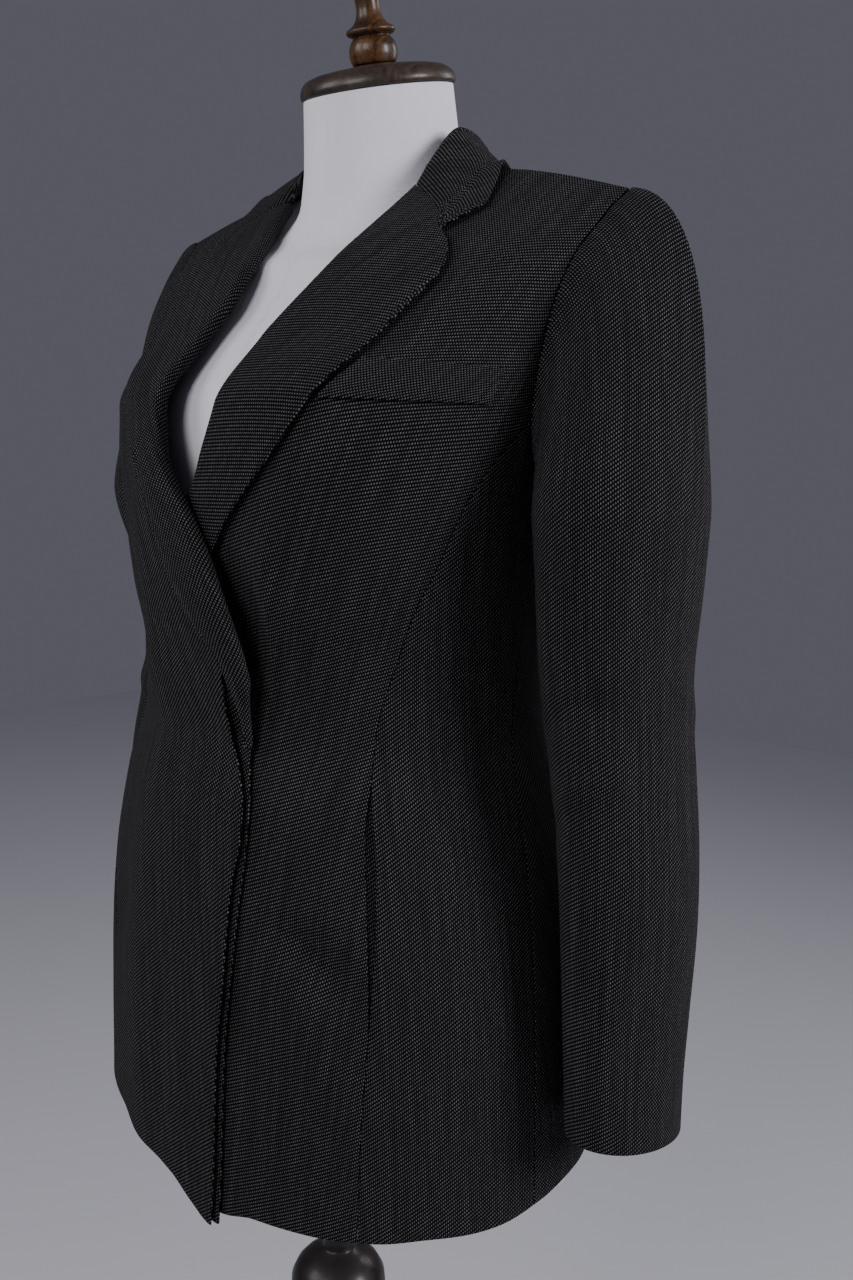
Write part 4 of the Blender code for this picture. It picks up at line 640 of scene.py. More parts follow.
# ---------------------------------------------------------------- creases and grain
CREASE_COLUMNS = ("side", "from_angle", "from_height", "to_angle", "to_height", "bow", "width", "depth")
CREASES = (
    # the hollow beside the closure and the ridge that bounds it, below the left lapel's foot
    ("left", 4.0, 0.425, 13.0, 0.315, -0.06, 0.0085, -0.0040),
    ("left", 20.5, 0.440, 17.0, 0.310, 0.02, 0.0070, 0.0034),
    ("left", 27.0, 0.440, 24.0, 0.330, 0.03, 0.0080, -0.0012),
    ("left", 38.0, 0.450, 34.0, 0.320, -0.03, 0.0100, 0.0010),
    # the soft diagonal fold beside the hip pocket, a crease at its foot, and the turned-up hem's edge
    ("left", 17.0, 0.193, 41.0, 0.136, 0.05, 0.0095, -0.0046),
    ("left", 20.0, 0.150, 40.0, 0.112, 0.03, 0.0120, 0.0014),
    ("left", 33.0, 0.103, 42.0, 0.086, 0.04, 0.0045, -0.0012),
    ("left", 12.0, 0.068, 54.0, 0.092, 0.02, 0.0028, -0.0005),
    ("left", 40.0, 0.090, 88.0, 0.072, 0.02, 0.0028, -0.0005),
    ("left", 52.0, 0.250, 62.0, 0.120, -0.05, 0.0150, -0.0012),
    ("left", 60.0, 0.350, 84.0, 0.320, -0.05, 0.0090, -0.0016),
    ("left", 58.0, 0.310, 80.0, 0.285, 0.05, 0.0110, 0.0016),
    # the wearer's right front
    ("right", 2.0, 0.345, -26.0, 0.390, 0.05, 0.0090, -0.0014),
    ("right", 0.0, 0.322, -30.0, 0.345, -0.06, 0.0100, 0.0014),
    ("right", 4.0, 0.300, -34.0, 0.296, 0.05, 0.0100, -0.0012),
    ("right", -7.0, 0.170, -8.4, -0.020, 0.02, 0.0055, -0.0018),
    ("right", -16.0, 0.180, -17.0, -0.010, 0.02, 0.0100, 0.0010),
    ("right", -22.0, 0.190, -40.0, 0.110, 0.04, 0.0130, -0.0020),
    ("right", -58.0, 0.330, -80.0, 0.300, 0.05, 0.0090, -0.0022),
    ("right", -60.0, 0.300, -78.0, 0.235, -0.05, 0.0110, 0.0020),
    ("right", -20.0, 0.560, -52.0, 0.520, 0.05, 0.0140, -0.0012),
    # the back: folds across the hollow of the waist, and drag lines up to the armholes
    ("back", 120.0, 0.322, 168.0, 0.306, 0.05, 0.0090, -0.0028),
    ("back", 112.0, 0.296, 160.0, 0.278, -0.04, 0.0100, 0.0026),
    ("back", 126.0, 0.350, 172.0, 0.345, 0.03, 0.0100, 0.0018),
    ("back", -116.0, 0.330, -166.0, 0.300, -0.05, 0.0095, -0.0028),
    ("back", -124.0, 0.300, -172.0, 0.282, 0.05, 0.0100, 0.0024),
    ("back", -118.0, 0.356, -160.0, 0.350, -0.03, 0.0100, 0.0018),
    ("back", 118.0, 0.470, 146.0, 0.570, 0.06, 0.0150, -0.0022),
    ("back", -118.0, 0.470, -148.0, 0.560, -0.06, 0.0150, -0.0022),
    ("back", 150.0, 0.200, 158.0, 0.020, 0.04, 0.0200, 0.0022),
    ("back", -146.0, 0.190, -154.0, 0.020, -0.04, 0.0200, 0.0020),
)
CREASE_METRES_PER_DEGREE = 0.0028
CREASE_ENDS = 0.38            # share of a crease over which it fades in and out
CREASE_TAPER = 0.35           # by which its end is wider than its start, as a share

SLEEVE_CREASE_COLUMNS = ("from_turn", "from_height", "to_turn", "to_height", "bow", "width", "depth")
SLEEVE_CREASES = (
    (40.0, 0.335, 140.0, 0.300, 0.08, 0.0085, -0.0032),
    (30.0, 0.300, 130.0, 0.272, -0.06, 0.0090, 0.0026),
    (60.0, 0.268, 150.0, 0.240, 0.06, 0.0080, -0.0022),
    (-50.0, 0.300, 10.0, 0.345, 0.05, 0.0100, 0.0016),
    (80.0, 0.410, 60.0, 0.300, 0.05, 0.0110, -0.0020),
    (112.0, 0.430, 104.0, 0.330, 0.04, 0.0090, 0.0020),
    (-20.0, 0.480, -28.0, 0.330, 0.03, 0.0120, 0.0014),
    (20.0, 0.220, 44.0, 0.070, 0.04, 0.0130, -0.0018),
    (70.0, 0.200, 78.0, 0.060, -0.04, 0.0110, 0.0016),
    (-120.0, 0.400, -150.0, 0.300, 0.06, 0.0100, -0.0024),
    (-130.0, 0.280, -60.0, 0.255, -0.06, 0.0090, -0.0018),
)
SLEEVE_METRES_PER_DEGREE = 0.0009


def crease_field(rows, columns, x, height, scale):
    """Soft troughs and ridges: each lies along a bowed line between two places and fades at both ends."""
    lift = np.zeros(np.broadcast(x, height).shape)
    place = np.stack(np.broadcast_arrays(np.asarray(x, float) * scale, np.asarray(height, float)), -1)
    for row in rows:
        crease = dict(zip(columns, row))
        start = np.array([crease[columns[0]] * scale, crease["from_height"]])
        run = np.array([crease[columns[2]] * scale, crease["to_height"]]) - start
        length = np.linalg.norm(run)
        share = np.clip((place - start) @ run / length**2, 0, 1)
        off = (place - start) @ np.array([-run[1], run[0]]) / length
        off = off - crease["bow"] * length * 4 * share * (1 - share)
        fade = np.clip(share / CREASE_ENDS, 0, 1) * np.clip((1 - share) / CREASE_ENDS, 0, 1)
        width = crease["width"] * (1 + CREASE_TAPER * (share - 0.5))
        lift = lift + crease["depth"] * soft(fade) * np.exp(-((off / width) ** 2))
    return lift


def crease_lift(side, angle, height):
    """The small folds of one side's cloth, beside the large ones that the solids have too."""
    rows = [row[1:] for row in CREASES if row[0] == side]
    return crease_field(rows, CREASE_COLUMNS[1:], angle, height, CREASE_METRES_PER_DEGREE)


def lapel_lift(side, row, share):
    """A lapel's gentle waves along its length, none at the roll and the foot."""
    up = max(row, 0) / (LAPEL_ROWS - 1)
    wave = math.sin(up * LAPEL_WAVE_RUN + LAPEL_WAVE_START[side])
    return LAPEL_WAVE * wave * math.sin(math.pi * min(up * 1.15, 1.0)) * np.clip(share, 0, 1) ** 2


# ---------------------------------------------------------------- shells
EDGE_ROUND = 0.0010           # how far in the rounding of a cloth edge begins
EDGE_RAMP = ((0.0, 1.0), (0.13, 0.5), (0.5, 0.134), (1.0, 0.0))   # share of it, share of the half thickness


def run_lengths(points):
    """Distance along a line of points, from its first."""
    return np.concatenate([[0.0], np.cumsum(np.linalg.norm(np.diff(points, axis=0), axis=1))])


def edged(grid, drop):
    """A grid of points and uv with the rows of a rounded edge in place of its first and its last row."""
    def ramp(edge, inside, drop):
        span = np.maximum(np.linalg.norm(inside[..., :3] - edge[..., :3], axis=-1, keepdims=True), 1e-6)
        rows = [edge + (inside - edge) * np.minimum(share * EDGE_ROUND / span, 0.9) for share, _ in EDGE_RAMP]
        return rows, [1 - (1 - drop) * (1 - thinner) for _, thinner in EDGE_RAMP]

    first, last = ramp(grid[0], grid[1], drop[0]), ramp(grid[-1], grid[-2], drop[-1])
    return [np.concatenate([a, inner[1:-1], b[::-1]]) for a, inner, b in zip(first, (grid, drop), last)]


def rounded(grid):
    """A grid of points, half thickness vectors and uv with rounded edges on all four sides."""
    grid, drop = edged(grid, np.zeros(grid.shape[:2]))
    grid, drop = (part.swapaxes(0, 1) for part in edged(grid.swapaxes(0, 1), drop.T))
    return grid[..., :3] + grid[..., 3:6] * drop[..., None], grid[..., 6:]


def shell(name, outer, inner, uv):
    """A thin closed cloth shell between two grids of points, with rounded edges and its uv in metres."""
    half = (inner - outer) / 2
    top, top_uv = rounded(np.concatenate([outer, half, uv], -1))
    low, low_uv = rounded(np.concatenate([inner, -half, uv], -1))
    rows, columns = top.shape[:2]
    count = rows * columns
    faces = grid_faces(rows, columns, 0, False) + grid_faces(rows, columns, count, True)
    points = np.concatenate([top.reshape(-1, 3), low.reshape(-1, 3)]) + np.array([0, 0, HEM_LEVEL])
    places = np.concatenate([top_uv.reshape(-1, 2), low_uv.reshape(-1, 2)])
    return mesh_object(name, points, faces, places)


def mesh_object(name, points, faces, places=None):
    """A new smooth object; places are its points' cloth coordinates."""
    mesh = bpy.data.meshes.new(name)
    mesh.from_pydata(np.asarray(points).tolist(), [], [list(face) for face in faces])
    if places is not None:
        corners = np.zeros(len(mesh.loops), dtype=np.int32)
        mesh.loops.foreach_get("vertex_index", corners)
        layer = mesh.uv_layers.new(name="grain")
        layer.uv.foreach_set("vector", np.asarray(places)[corners].ravel().astype(np.float32))
    work = bmesh.new()
    work.from_mesh(mesh)
    bmesh.ops.remove_doubles(work, verts=work.verts, dist=1e-6)
    bmesh.ops.recalc_face_normals(work, faces=work.faces)
    work.to_mesh(mesh)
    work.free()
    mesh.shade_smooth()
    obj = bpy.data.objects.new(name, mesh)
    bpy.context.scene.collection.objects.link(obj)
    return obj


GRAIN_STEPS = 60              # heights at which the cloth's distances are measured
GRAIN_TURN_STEPS = 361
FLAT_ROUNDS = ((6, 400), (3, 80), (1, 30))    # stride and rounds of the flattening
FLAT_PUSH = 1.6               # how far beyond the links' mean push each round goes
EVEN_ROUNDS = 24              # of evening out what the flattening moved
# Height, and how far the fronts' grain leans out from upright there, in degrees.
FRONT_GRAIN = ((-0.040, 1.0), (0.120, 3.0), (0.250, 7.0), (0.400, 13.0), (0.660, 13.0))
UPRIGHT = ((-0.040, 0.0), (0.660, 0.0))


def grain_uv(places, start_angle, leans, sign=1.0):
    """Cloth coordinates of places on the torso: across from the grain line, and up along it."""
    angle, height = places[..., 0], places[..., 1]
    heights = np.linspace(-0.040, TOP_HEIGHT, GRAIN_STEPS)
    angles = np.linspace(-180.0, 180.0, GRAIN_TURN_STEPS)
    ring = torso(angles[None], heights[:, None])
    run = np.cumsum(np.linalg.norm(np.diff(ring, axis=1), axis=2), axis=1)
    girth = np.concatenate([np.zeros((GRAIN_STEPS, 1)), run], axis=1)
    lean = np.radians(np.interp(heights, *np.transpose(leans))) * sign
    line = [start_angle]
    for k in range(1, GRAIN_STEPS):
        per_degree = np.interp(line[-1] + 1, angles, girth[k]) - np.interp(line[-1], angles, girth[k])
        line.append(line[-1] + math.tan(lean[k]) * (heights[k] - heights[k - 1]) / per_degree)
    line = np.array(line)
    upright = run_lengths(torso(line, heights))
    start = np.array([np.interp(at, angles, row) for at, row in zip(line, girth)])
    row = np.clip(np.interp(height, heights, np.arange(float(GRAIN_STEPS))), 0, GRAIN_STEPS - 1.001)
    low, part = row.astype(int), row % 1
    column = np.clip((angle + 180.0) / 360.0 * (GRAIN_TURN_STEPS - 1), 0, GRAIN_TURN_STEPS - 1.001)
    left, rest = column.astype(int), column % 1

    def along_row(k):
        return girth[k, left] * (1 - rest) + girth[k, left + 1] * rest - start[k]

    off = along_row(low) * (1 - part) + along_row(low + 1) * part
    turn = np.interp(height, heights, lean)
    return np.stack([off * np.cos(turn), np.interp(height, heights, upright) + off * np.sin(turn)], -1)


def flattened(points, uv, even_rounds=EVEN_ROUNDS):
    """The cloth coordinates of a grid of points, relaxed until lengths on the flat match those worn."""
    start = uv
    for stride, rounds in FLAT_ROUNDS:
        rows, columns = (np.unique(np.append(np.arange(0, n, stride), n - 1)) for n in uv.shape[:2])
        worn, flat = (grid[rows][:, columns] for grid in (points, uv))
        moved = relaxed(worn, flat, rounds) - flat
        for axis, kept in ((0, rows), (1, columns)):
            every = np.arange(uv.shape[axis])
            moved = np.apply_along_axis(lambda line: np.interp(every, kept, line), axis, moved)
        uv = uv + moved
    moved = uv - start
    for _ in range(even_rounds):
        moved = np.pad(moved, ((1, 1), (1, 1), (0, 0)), "edge")
        moved = (moved[:-2] + moved[2:]) / 4 + moved[1:-1] / 2
        moved = (moved[:, :-2] + moved[:, 2:]) / 4 + moved[:, 1:-1] / 2
    return start + moved


def relaxed(worn, flat, rounds):
    """Flat points pushed along their links until each link is nearly as long as on the worn cloth."""
    count = np.zeros(flat.shape[:2] + (1,))
    links = []
    for down, across in ((0, 1), (1, 0), (1, 1), (1, -1)):
        first = (slice(None, -down or None), slice(max(-across, 0), -across if across > 0 else None))
        second = (slice(down, None), slice(across, None) if across >= 0 else slice(None, across))
        links.append((first, second, np.linalg.norm(worn[second] - worn[first], axis=-1, keepdims=True)))
        count[first] += 1
        count[second] += 1
    for _ in range(rounds):
        push = np.zeros_like(flat)
        for first, second, length in links:
            run = flat[second] - flat[first]
            now = np.maximum(np.linalg.norm(run, axis=-1, keepdims=True), 1e-9)
            move = run * (length / now - 1) / 2
            push[second] += move
            push[first] -= move
        flat = flat + push / count * FLAT_PUSH
    return flat


def panel_shell(name, side, places, grain, above=0.0):
    """A panel's shell. Its outer face lies the given height above its side's cloth surface."""
    outer = on_cloth(side, places, above)
    inner = on_cloth(side, places, above - WALL)
    return shell(name, pulled_in(outer), pulled_in(inner), flattened(outer, grain))


def front_shell(sign):
    """A front, open at the pocket and drawn back from the lapel's roll; the right edge curls."""
    places = front_places(sign)
    shift_across(places, 0, pocket_gap(places[:, 0, 1]))
    shift_across(places, -1, np.where(places[:, -1, 1] > ROLL_FOOT - SEAM_GAP, FRONT_PULL_BACK, 0.0))
    grain = grain_uv(places, 0.0, FRONT_GRAIN, sign)
    above = edge_curl(places) if sign < 0 else 0.0
    return panel_shell(f"front_{SIDES[sign]}_cloth", SIDES[sign], places, grain, above)


def edge_curl(places):
    """The over layer of the fly lifts towards its edge."""
    from_edge = places[:, -1:, 0] - places[..., 0]
    return read(FLY_CURL, places[..., 1]) * np.exp(-((from_edge / CURL_ANGLE) ** 2))


def side_front_shell(sign):
    """A side front, whose seam opens at the pocket."""
    places = side_front_places(sign)
    shift_across(places, 0, pocket_gap(places[:, 0, 1]))
    grain = grain_uv(places, sign * SIDE_GRAIN, UPRIGHT)
    return panel_shell(f"side_front_{SIDES[sign]}_cloth", SIDES[sign], places, grain)


def back_shell(sign):
    """One half of the back."""
    places = back_places(sign)
    grain = grain_uv(places, sign * BACK_GRAIN, UPRIGHT)
    return panel_shell(f"back_{SIDES[sign]}_cloth", "back", places, grain)


def fly_shell():
    """The fly's under layer, which reaches from behind the right front's edge to beyond it."""
    places = front_places(-1)[: HIP_ROWS + 1, -FLY_COLUMNS:]
    edge = at_heights(FLY_EDGE, places[:, -1, 1])
    beyond = np.linspace(places[:, -1], edge, FLY_BEYOND + 1, axis=1)
    places = np.concatenate([places, beyond[:, 1:]], axis=1)
    in_slit = (((places - FLY_DIP_PLACE) / FLY_DIP_SPREAD) ** 2).sum(-1)
    above = -WALL - FLY_GAP - FLY_DIP_DEPTH * np.exp(-in_slit)
    return panel_shell("fly_right_cloth", "right", places, grain_uv(places, 0.0, FRONT_GRAIN, -1.0), above)


def welt_shell():
    """The chest welt, a strip that lies on the left front with its ends cut aslant."""
    rows = np.linspace((WELT_FROM, WELT_TO, WELT_BOTTOM), (WELT_FROM_TOP, WELT_TO, WELT_TOP), WELT_ROWS)
    places = np.linspace(rows[:, [0, 2]], rows[:, [1, 2]], WELT_COLUMNS, axis=1)
    faces = (on_cloth("left", places, above) for above in (WELT_GAP + WELT_WALL, WELT_GAP))
    return shell("chest_welt_cloth", *faces, grain_uv(places, 0.0, FRONT_GRAIN))


def pocket_back_shell(sign):
    """The cloth that shows through a hip pocket's mouth, behind both panels."""
    rows = slice(*POCKET_BACK_ROWS)
    front = front_places(sign)[rows, POCKET_BACK_COLUMNS:0:-1]
    side_front = side_front_places(sign)[rows, : POCKET_BACK_COLUMNS + 1]
    places = np.concatenate([front, side_front], axis=1)
    grain, above = grain_uv(places, sign * SIDE_GRAIN, UPRIGHT), -WALL - POCKET_BACK_GAP
    return panel_shell(f"pocket_back_{SIDES[sign]}_cloth", SIDES[sign], places, grain, above)


# ---------------------------------------------------------------- lapels and collar
def arc(centre, radii, degrees):
    """Points round a centre at the given angles, on a circle or an ellipse."""
    turn = np.radians(degrees)
    return list(np.array(centre) + np.array(radii) * np.stack([np.cos(turn), np.sin(turn)], -1))


def lapel_section(width):
    """(distance from the roll, height) of the lapel's middle line, from its tuck to its edge."""
    tuck = (ROLL_CENTRE_IN + ROLL_TUCK, ROLL_CENTRE_UP - ROLL_RADIUS)
    roll = arc((ROLL_CENTRE_IN, ROLL_CENTRE_UP), ROLL_RADIUS, np.linspace(270, 90, ROLL_STEPS + 1))
    share = np.arange(1, LAPEL_STEPS + 1) / LAPEL_STEPS
    reach = ROLL_CENTRE_IN + (width - ROLL_CENTRE_IN) * share
    rise = LAPEL_LIE + LAPEL_BELLY * min(width / LAPEL_BELLY_WIDTH, 1.0) * np.sin(math.pi * share)
    return np.array([tuck, *roll, *zip(reach, rise)])


def section_normals(points):
    """Normals of a line of points in a plane."""
    ends = np.concatenate([points[:1], points, points[-1:]])
    run = ends[2:] - ends[:-2]
    return unit(np.stack([-run[:, 1], run[:, 0]], -1))


def lapel_lines(sign):
    """Places on the roll and on the outer edge of one lapel, row by row from its foot."""
    roll_rows, edge_rows = (LEFT_ROLL, LEFT_LAPEL_EDGE) if sign > 0 else (RIGHT_ROLL, RIGHT_LAPEL_EDGE)
    chest = ARMHOLE_FRONT[0][1]
    low, high = np.linspace(ROLL_FOOT, chest, BUST_ROWS + 1), np.linspace(chest, TOP_HEIGHT, HIGH_ROWS + 1)
    edge = at_heights(edge_rows, np.linspace(edge_rows[0][1], edge_rows[-1][1], LAPEL_NOTCH_ROW + 1))
    notch = along(signed(LAPEL_TOP, sign), LAPEL_ROWS - 1 - LAPEL_NOTCH_ROW, by_height=False)
    return at_heights(roll_rows, joined(low, high)), joined(edge, notch)


def foot_shape(height, sign):
    """Size and sink of a lapel's roll, which grow from the foot on the right lapel alone."""
    heights, sizes, sinks = np.transpose(FOOT_SHAPE)
    return (np.interp(height, heights, sizes), np.interp(height, heights, sinks)) if sign < 0 else (1, 0)


def lapel_shell(sign):
    """A lapel that rolls out of its front and lies on it, row by row from its foot to the gorge."""
    side, gorge, lines = SIDES[sign], np.array(signed(GORGE, sign)), lapel_lines(sign)
    if sign < 0:
        feet = (along([row[k::2 - k] for row in RIGHT_FOOT], FOOT_ROWS) for k in (0, 1))
        lines = [joined(foot, line) for foot, line in zip(feet, lines)]
    outer, inner, across = [], [], []
    for row, (start, end) in enumerate(zip(*lines), LAPEL_ROWS - len(lines[0])):
        width = float(np.linalg.norm(torso(*end) - torso(*start)))
        size, sink = foot_shape(start[1], sign)
        section = lapel_section(width / size) * size - np.array([0, sink])
        half = section_normals(section) * WALL / 2
        bend = max(0.0, 1 - (LAPEL_ROWS - 1 - row) / BEND_ROWS)
        bed = lapel_bed(side, start, end, gorge, bend)
        for face, points in ((outer, section + half), (inner, section - half)):
            share = points[:, 0] / width
            face.append(laid_on(bed, share, points[:, 1] + lapel_lift(side, row, share)))
        across.append(run_lengths(section))
    outer, inner = np.array(outer), np.array(inner)
    right, up = sign * np.array(across), run_lengths(outer[:, ROLL_STEPS])[:, None]
    cosine, sine = math.cos(math.radians(LAPEL_GRAIN_LEAN)), sign * math.sin(math.radians(LAPEL_GRAIN_LEAN))
    uv = np.stack([right * cosine - up * sine, right * sine + up * cosine], -1)
    outer, inner = (pulled_in(face, edges="bt") for face in (outer, inner))
    return shell(f"lapel_{side}_cloth", outer, inner, flattened(outer, uv, 0))


def lapel_bed(side, start, end, gorge, bend):
    """The cloth's surface below one row of a lapel, as smooth curves of the share across the lapel."""
    share = np.linspace(0, 1, 33)[:, None]
    places = start + (end - start) * share
    places = places + (bent_to_gorge(places, share, gorge) - places) * bend
    surface = np.concatenate([on_cloth(side, places), torso_normal(*places.T)], -1)
    return np.linalg.lstsq(np.vander(share[:, 0], BED_TERMS), surface, rcond=None)[0]


def laid_on(bed, share, above):
    """Points above a lapel's bed."""
    surface = np.vander(share, BED_TERMS) @ bed
    return surface[:, :3] + unit(surface[:, 3:]) * np.asarray(above)[:, None]


def bent_to_gorge(places, share, gorge):
    """The lapel's top row follows the gorge seam instead of a straight line."""
    line = np.stack([np.interp(share[:, 0], [0, 0.5, 1], gorge[::-1, k]) for k in (0, 1)], -1)
    return np.where(share > 0, line, places)


def gorge_points():
    """The left lapel's points along the gorge, on its middle surface."""
    roll, edge = (line[-1] for line in lapel_lines(1))
    width = float(np.linalg.norm(torso(*edge) - torso(*roll)))
    section = lapel_section(width)[1:]
    return laid_on(lapel_bed("left", roll, edge, np.array(GORGE), 1.0), section[:, 0] / width, section[:, 1])


def collar_sections():
    """Middle surface of the collar's left half, points[along, across], from the gorge to the back."""
    at = table_at(COLLAR_SECTIONS, COLLAR_COLUMNS, np.linspace(0, 1, COLLAR_HALF_COLUMNS))
    seam, roll, edge = (
        np.stack([at[f"{line}_{axis}"] for axis in "xyz"], -1) for line in ("seam", "roll", "edge")
    )
    away, up = unit((edge - roll) * np.array([1, 1, 0])), np.array([0, 0, 1.0])
    lines = [seam + (roll - seam) * share for share in np.arange(STAND_STEPS) / STAND_STEPS]
    for turn in np.radians(np.linspace(180, 0, ROLL_STEPS + 1)):
        lines.append(roll + COLLAR_ROLL_RADIUS * (away * (1 + math.cos(turn)) + up * (math.sin(turn) - 1)))
    fall, steps = lines[-1], LAPEL_STEPS + 1
    lines += [fall + (edge - fall) * step / steps for step in range(1, steps + 1)]
    sections = np.stack(lines, 1)
    belly = COLLAR_BELLY * np.sin(np.linspace(0, math.pi, steps + 1))[None, :, None]
    sections[:, -steps - 1:] += surface_normals(sections)[:, -steps - 1:] * belly
    to_gorge = gorge_points() - sections[0, STAND_STEPS:-1]
    to_gorge[: ROLL_STEPS + 1] *= np.linspace(0, 1, ROLL_STEPS + 1)[:, None] ** GORGE_RAMP
    for column in range(GORGE_BLEND):
        sections[column, STAND_STEPS:-1] += to_gorge * (1 - soft(column / GORGE_BLEND))
    return sections


def surface_normals(grid):
    """Normals of a grid of points, from its neighbours."""
    return unit(np.cross(np.gradient(grid, axis=0), np.gradient(grid, axis=1)))


def settled(half, drop):
    """One half of the collar with its roll settled lower beside the neck; its seam and edge stay."""
    share = np.linspace(0, 1, COLLAR_HALF_COLUMNS)[:, None] / COLLAR_SETTLE_TO
    columns = half.shape[1]
    knots = (0, STAND_STEPS, STAND_STEPS + ROLL_STEPS, columns - 1)
    fade = np.interp(np.arange(columns), knots, (0, 1, 1, 0))
    lower = half.copy()
    lower[..., 2] -= drop * np.sin(math.pi * np.clip(share, 0, 1)) ** 2 * fade
    return lower


def collar_shell():
    """The collar: stand, roll and fall, with its two halves settled by different amounts."""
    half, other = (settled(collar_sections(), drop) for drop in COLLAR_SETTLE)
    middle = np.concatenate([half, (other * np.array([-1, 1, 1]))[-2::-1]])
    thick = surface_normals(middle) * WALL / 2
    faces = (pulled_in(face, gap=COLLAR_END_GAP, edges="bt") for face in (middle + thick, middle - thick))
    along_roll = run_lengths(middle[:, STAND_STEPS + ROLL_STEPS // 2])
    turn = (along_roll / along_roll[-1] - 0.5) * 2 * math.radians(COLLAR_GRAIN_TURN)
    radius = along_roll[-1] / 2 / math.radians(COLLAR_GRAIN_TURN)
    reach = radius + np.array([run_lengths(row) for row in middle])
    uv = np.stack([reach * np.sin(turn)[:, None], -reach * np.cos(turn)[:, None]], -1)
    return shell("collar_cloth", *faces, flattened(middle, uv, 0))


# ---------------------------------------------------------------- sleeves
def armhole_loop():
    """Places of the left armhole, from the shoulder end down the front, under and up the back."""
    front = along(ARMHOLE_FRONT, HIGH_ROWS)[::-1]
    under = along(ARMHOLE_UNDER, SIDE_COLUMNS, by_height=False)
    back = along(ARMHOLE_BACK, HIGH_ROWS, by_height=False)
    return joined(front, under, back)[:-1]


def sleeve_ring(level, turn):
    """One horizontal section of the sleeve at the given angles round it."""
    x = level["centre_x"] + level["half_across"] * np.cos(turn)
    y = level["centre_y"] - level["half_deep"] * np.sin(turn)
    z = level["height"] + 0 * turn
    return np.stack([x, y, z], -1)


def sleeve_grid():
    """Outer points of the left sleeve, points[row, column], and the angle of each column."""
    places = armhole_loop()
    away = torso_normal(*places.T)
    seam = torso(*places.T) + away * pad_lift(*places.T)[:, None]
    middle = seam.mean(axis=0)
    turn = np.unwrap(np.arctan2(-(seam[:, 1] - middle[1]), seam[:, 2] - middle[2]))
    ring = sleeve_ring(dict(zip(SLEEVE_COLUMNS, SLEEVE_LEVELS[0])), turn)
    rise = (1 + np.cos(turn)) / 2
    drop = np.linalg.norm(ring - seam, axis=1)
    away[:, 0] = np.maximum(away[:, 0], CAP_LEAST_OUT)
    out = unit(np.array([1.0, 0.0, 0.0]) + CAP_FLARE * away)
    fullness = SLEEVE_HEAD_FULLNESS * (CAP_UNDER_SHARE + (1 - CAP_UNDER_SHARE) * rise)
    start_pull = out * (fullness * drop)[:, None]
    start_pull[:, 2] += SLEEVE_HEAD_RISE * rise**3
    end_pull = np.array([0, 0, -1.0]) * (CAP_FALL * drop)[:, None]
    rows = [seam]
    for t in np.linspace(0, 1, SLEEVE_CAP_ROWS + 1)[1:]:
        row = seam + (ring - seam) * soft(t)
        rows.append(row + t * (1 - t) ** 2 * start_pull + t * t * (t - 1) * end_pull)
    heights = np.linspace(SLEEVE_LEVELS[0][0], SLEEVE_LEVELS[-1][0], SLEEVE_ROWS + 1)[1:]
    slant_from = SLEEVE_LEVELS[-2][0]
    for level in sections_at(SLEEVE_LEVELS, SLEEVE_COLUMNS, heights):
        row = sleeve_ring(level, turn)
        slant = np.clip((slant_from - level["height"]) / (slant_from - heights[-1]), 0, 1)
        row[:, 2] += CUFF_SLANT * slant * np.sin(turn)
        rows.append(row)
    return np.array(rows), turn, places


def sleeve_normals(grid, places):
    """Outward directions of the sleeve; its first row's lean to the body's, and down at the underarm."""
    normals = surface_normals(np.concatenate([grid[:, -1:], grid, grid[:, :1]], axis=1))[:, 1:-1]
    outward = ((grid - grid.mean(axis=1, keepdims=True)) * normals).sum(-1)[2:].mean() > 0
    normals = normals if outward else -normals
    under = np.clip((CAP_UNDER_HEIGHT - grid[0, :, 2]) / CAP_UNDER_SPAN, 0, 1)[:, None]
    normals[0] = unit(torso_normal(*places.T) + under * (normals[1] - np.array([0, 0, CAP_UNDER_DROP])))
    return normals


def shifted_back(grid):
    """The sleeve moved in and back, more and more from its armhole down through the cap."""
    share = soft(np.arange(len(grid)) / SLEEVE_CAP_ROWS)[:, None]
    moved = grid.copy()
    moved[..., 0] -= share * read(RIGHT_SLEEVE_SHIFT, grid[..., 2])
    moved[..., 1] += share * read(RIGHT_SLEEVE_SHIFT, grid[..., 2], value=2)
    return moved


def sleeve_shells():
    """Both sleeves, each of a top and an under piece; the right one is the left one's mirror, moved."""
    grid, turn, places = sleeve_grid()
    degrees = (np.degrees(turn) + 180) % 360 - 180
    creases = (SLEEVE_CREASES, SLEEVE_CREASE_COLUMNS, degrees[None], grid[..., 2], SLEEVE_METRES_PER_DEGREE)
    below_cap = np.clip((np.arange(len(grid)) - 2) / SLEEVE_CAP_ROWS, 0, 1)[:, None]
    normals = sleeve_normals(grid, places)
    outer = grid + normals * (crease_field(*creases) * below_cap)[..., None]
    faces = np.array([outer, outer - normals * WALL])
    hind, fore, outermost = (nearest(degrees, angle) for angle in (HIND_SEAM_ANGLE, FRONT_SEAM_ANGLE, 0.0))
    pieces = {}
    for piece, first, last in (("top", hind, fore), ("under", fore, hind)):
        columns = [(first + k) % len(turn) for k in range((last - first) % len(turn) + 1)]
        uv = sleeve_uv(outer, outermost, piece == "top")
        pieces[piece] = columns, flattened(outer[:, columns], uv[:, columns])
    return [
        sleeve_piece(f"{piece}_sleeve_{SIDES[sign]}_cloth", sign, both, columns, flat)
        for sign, both in ((1, faces), (-1, [shifted_back(face) for face in faces]))
        for piece, (columns, flat) in pieces.items()
    ]


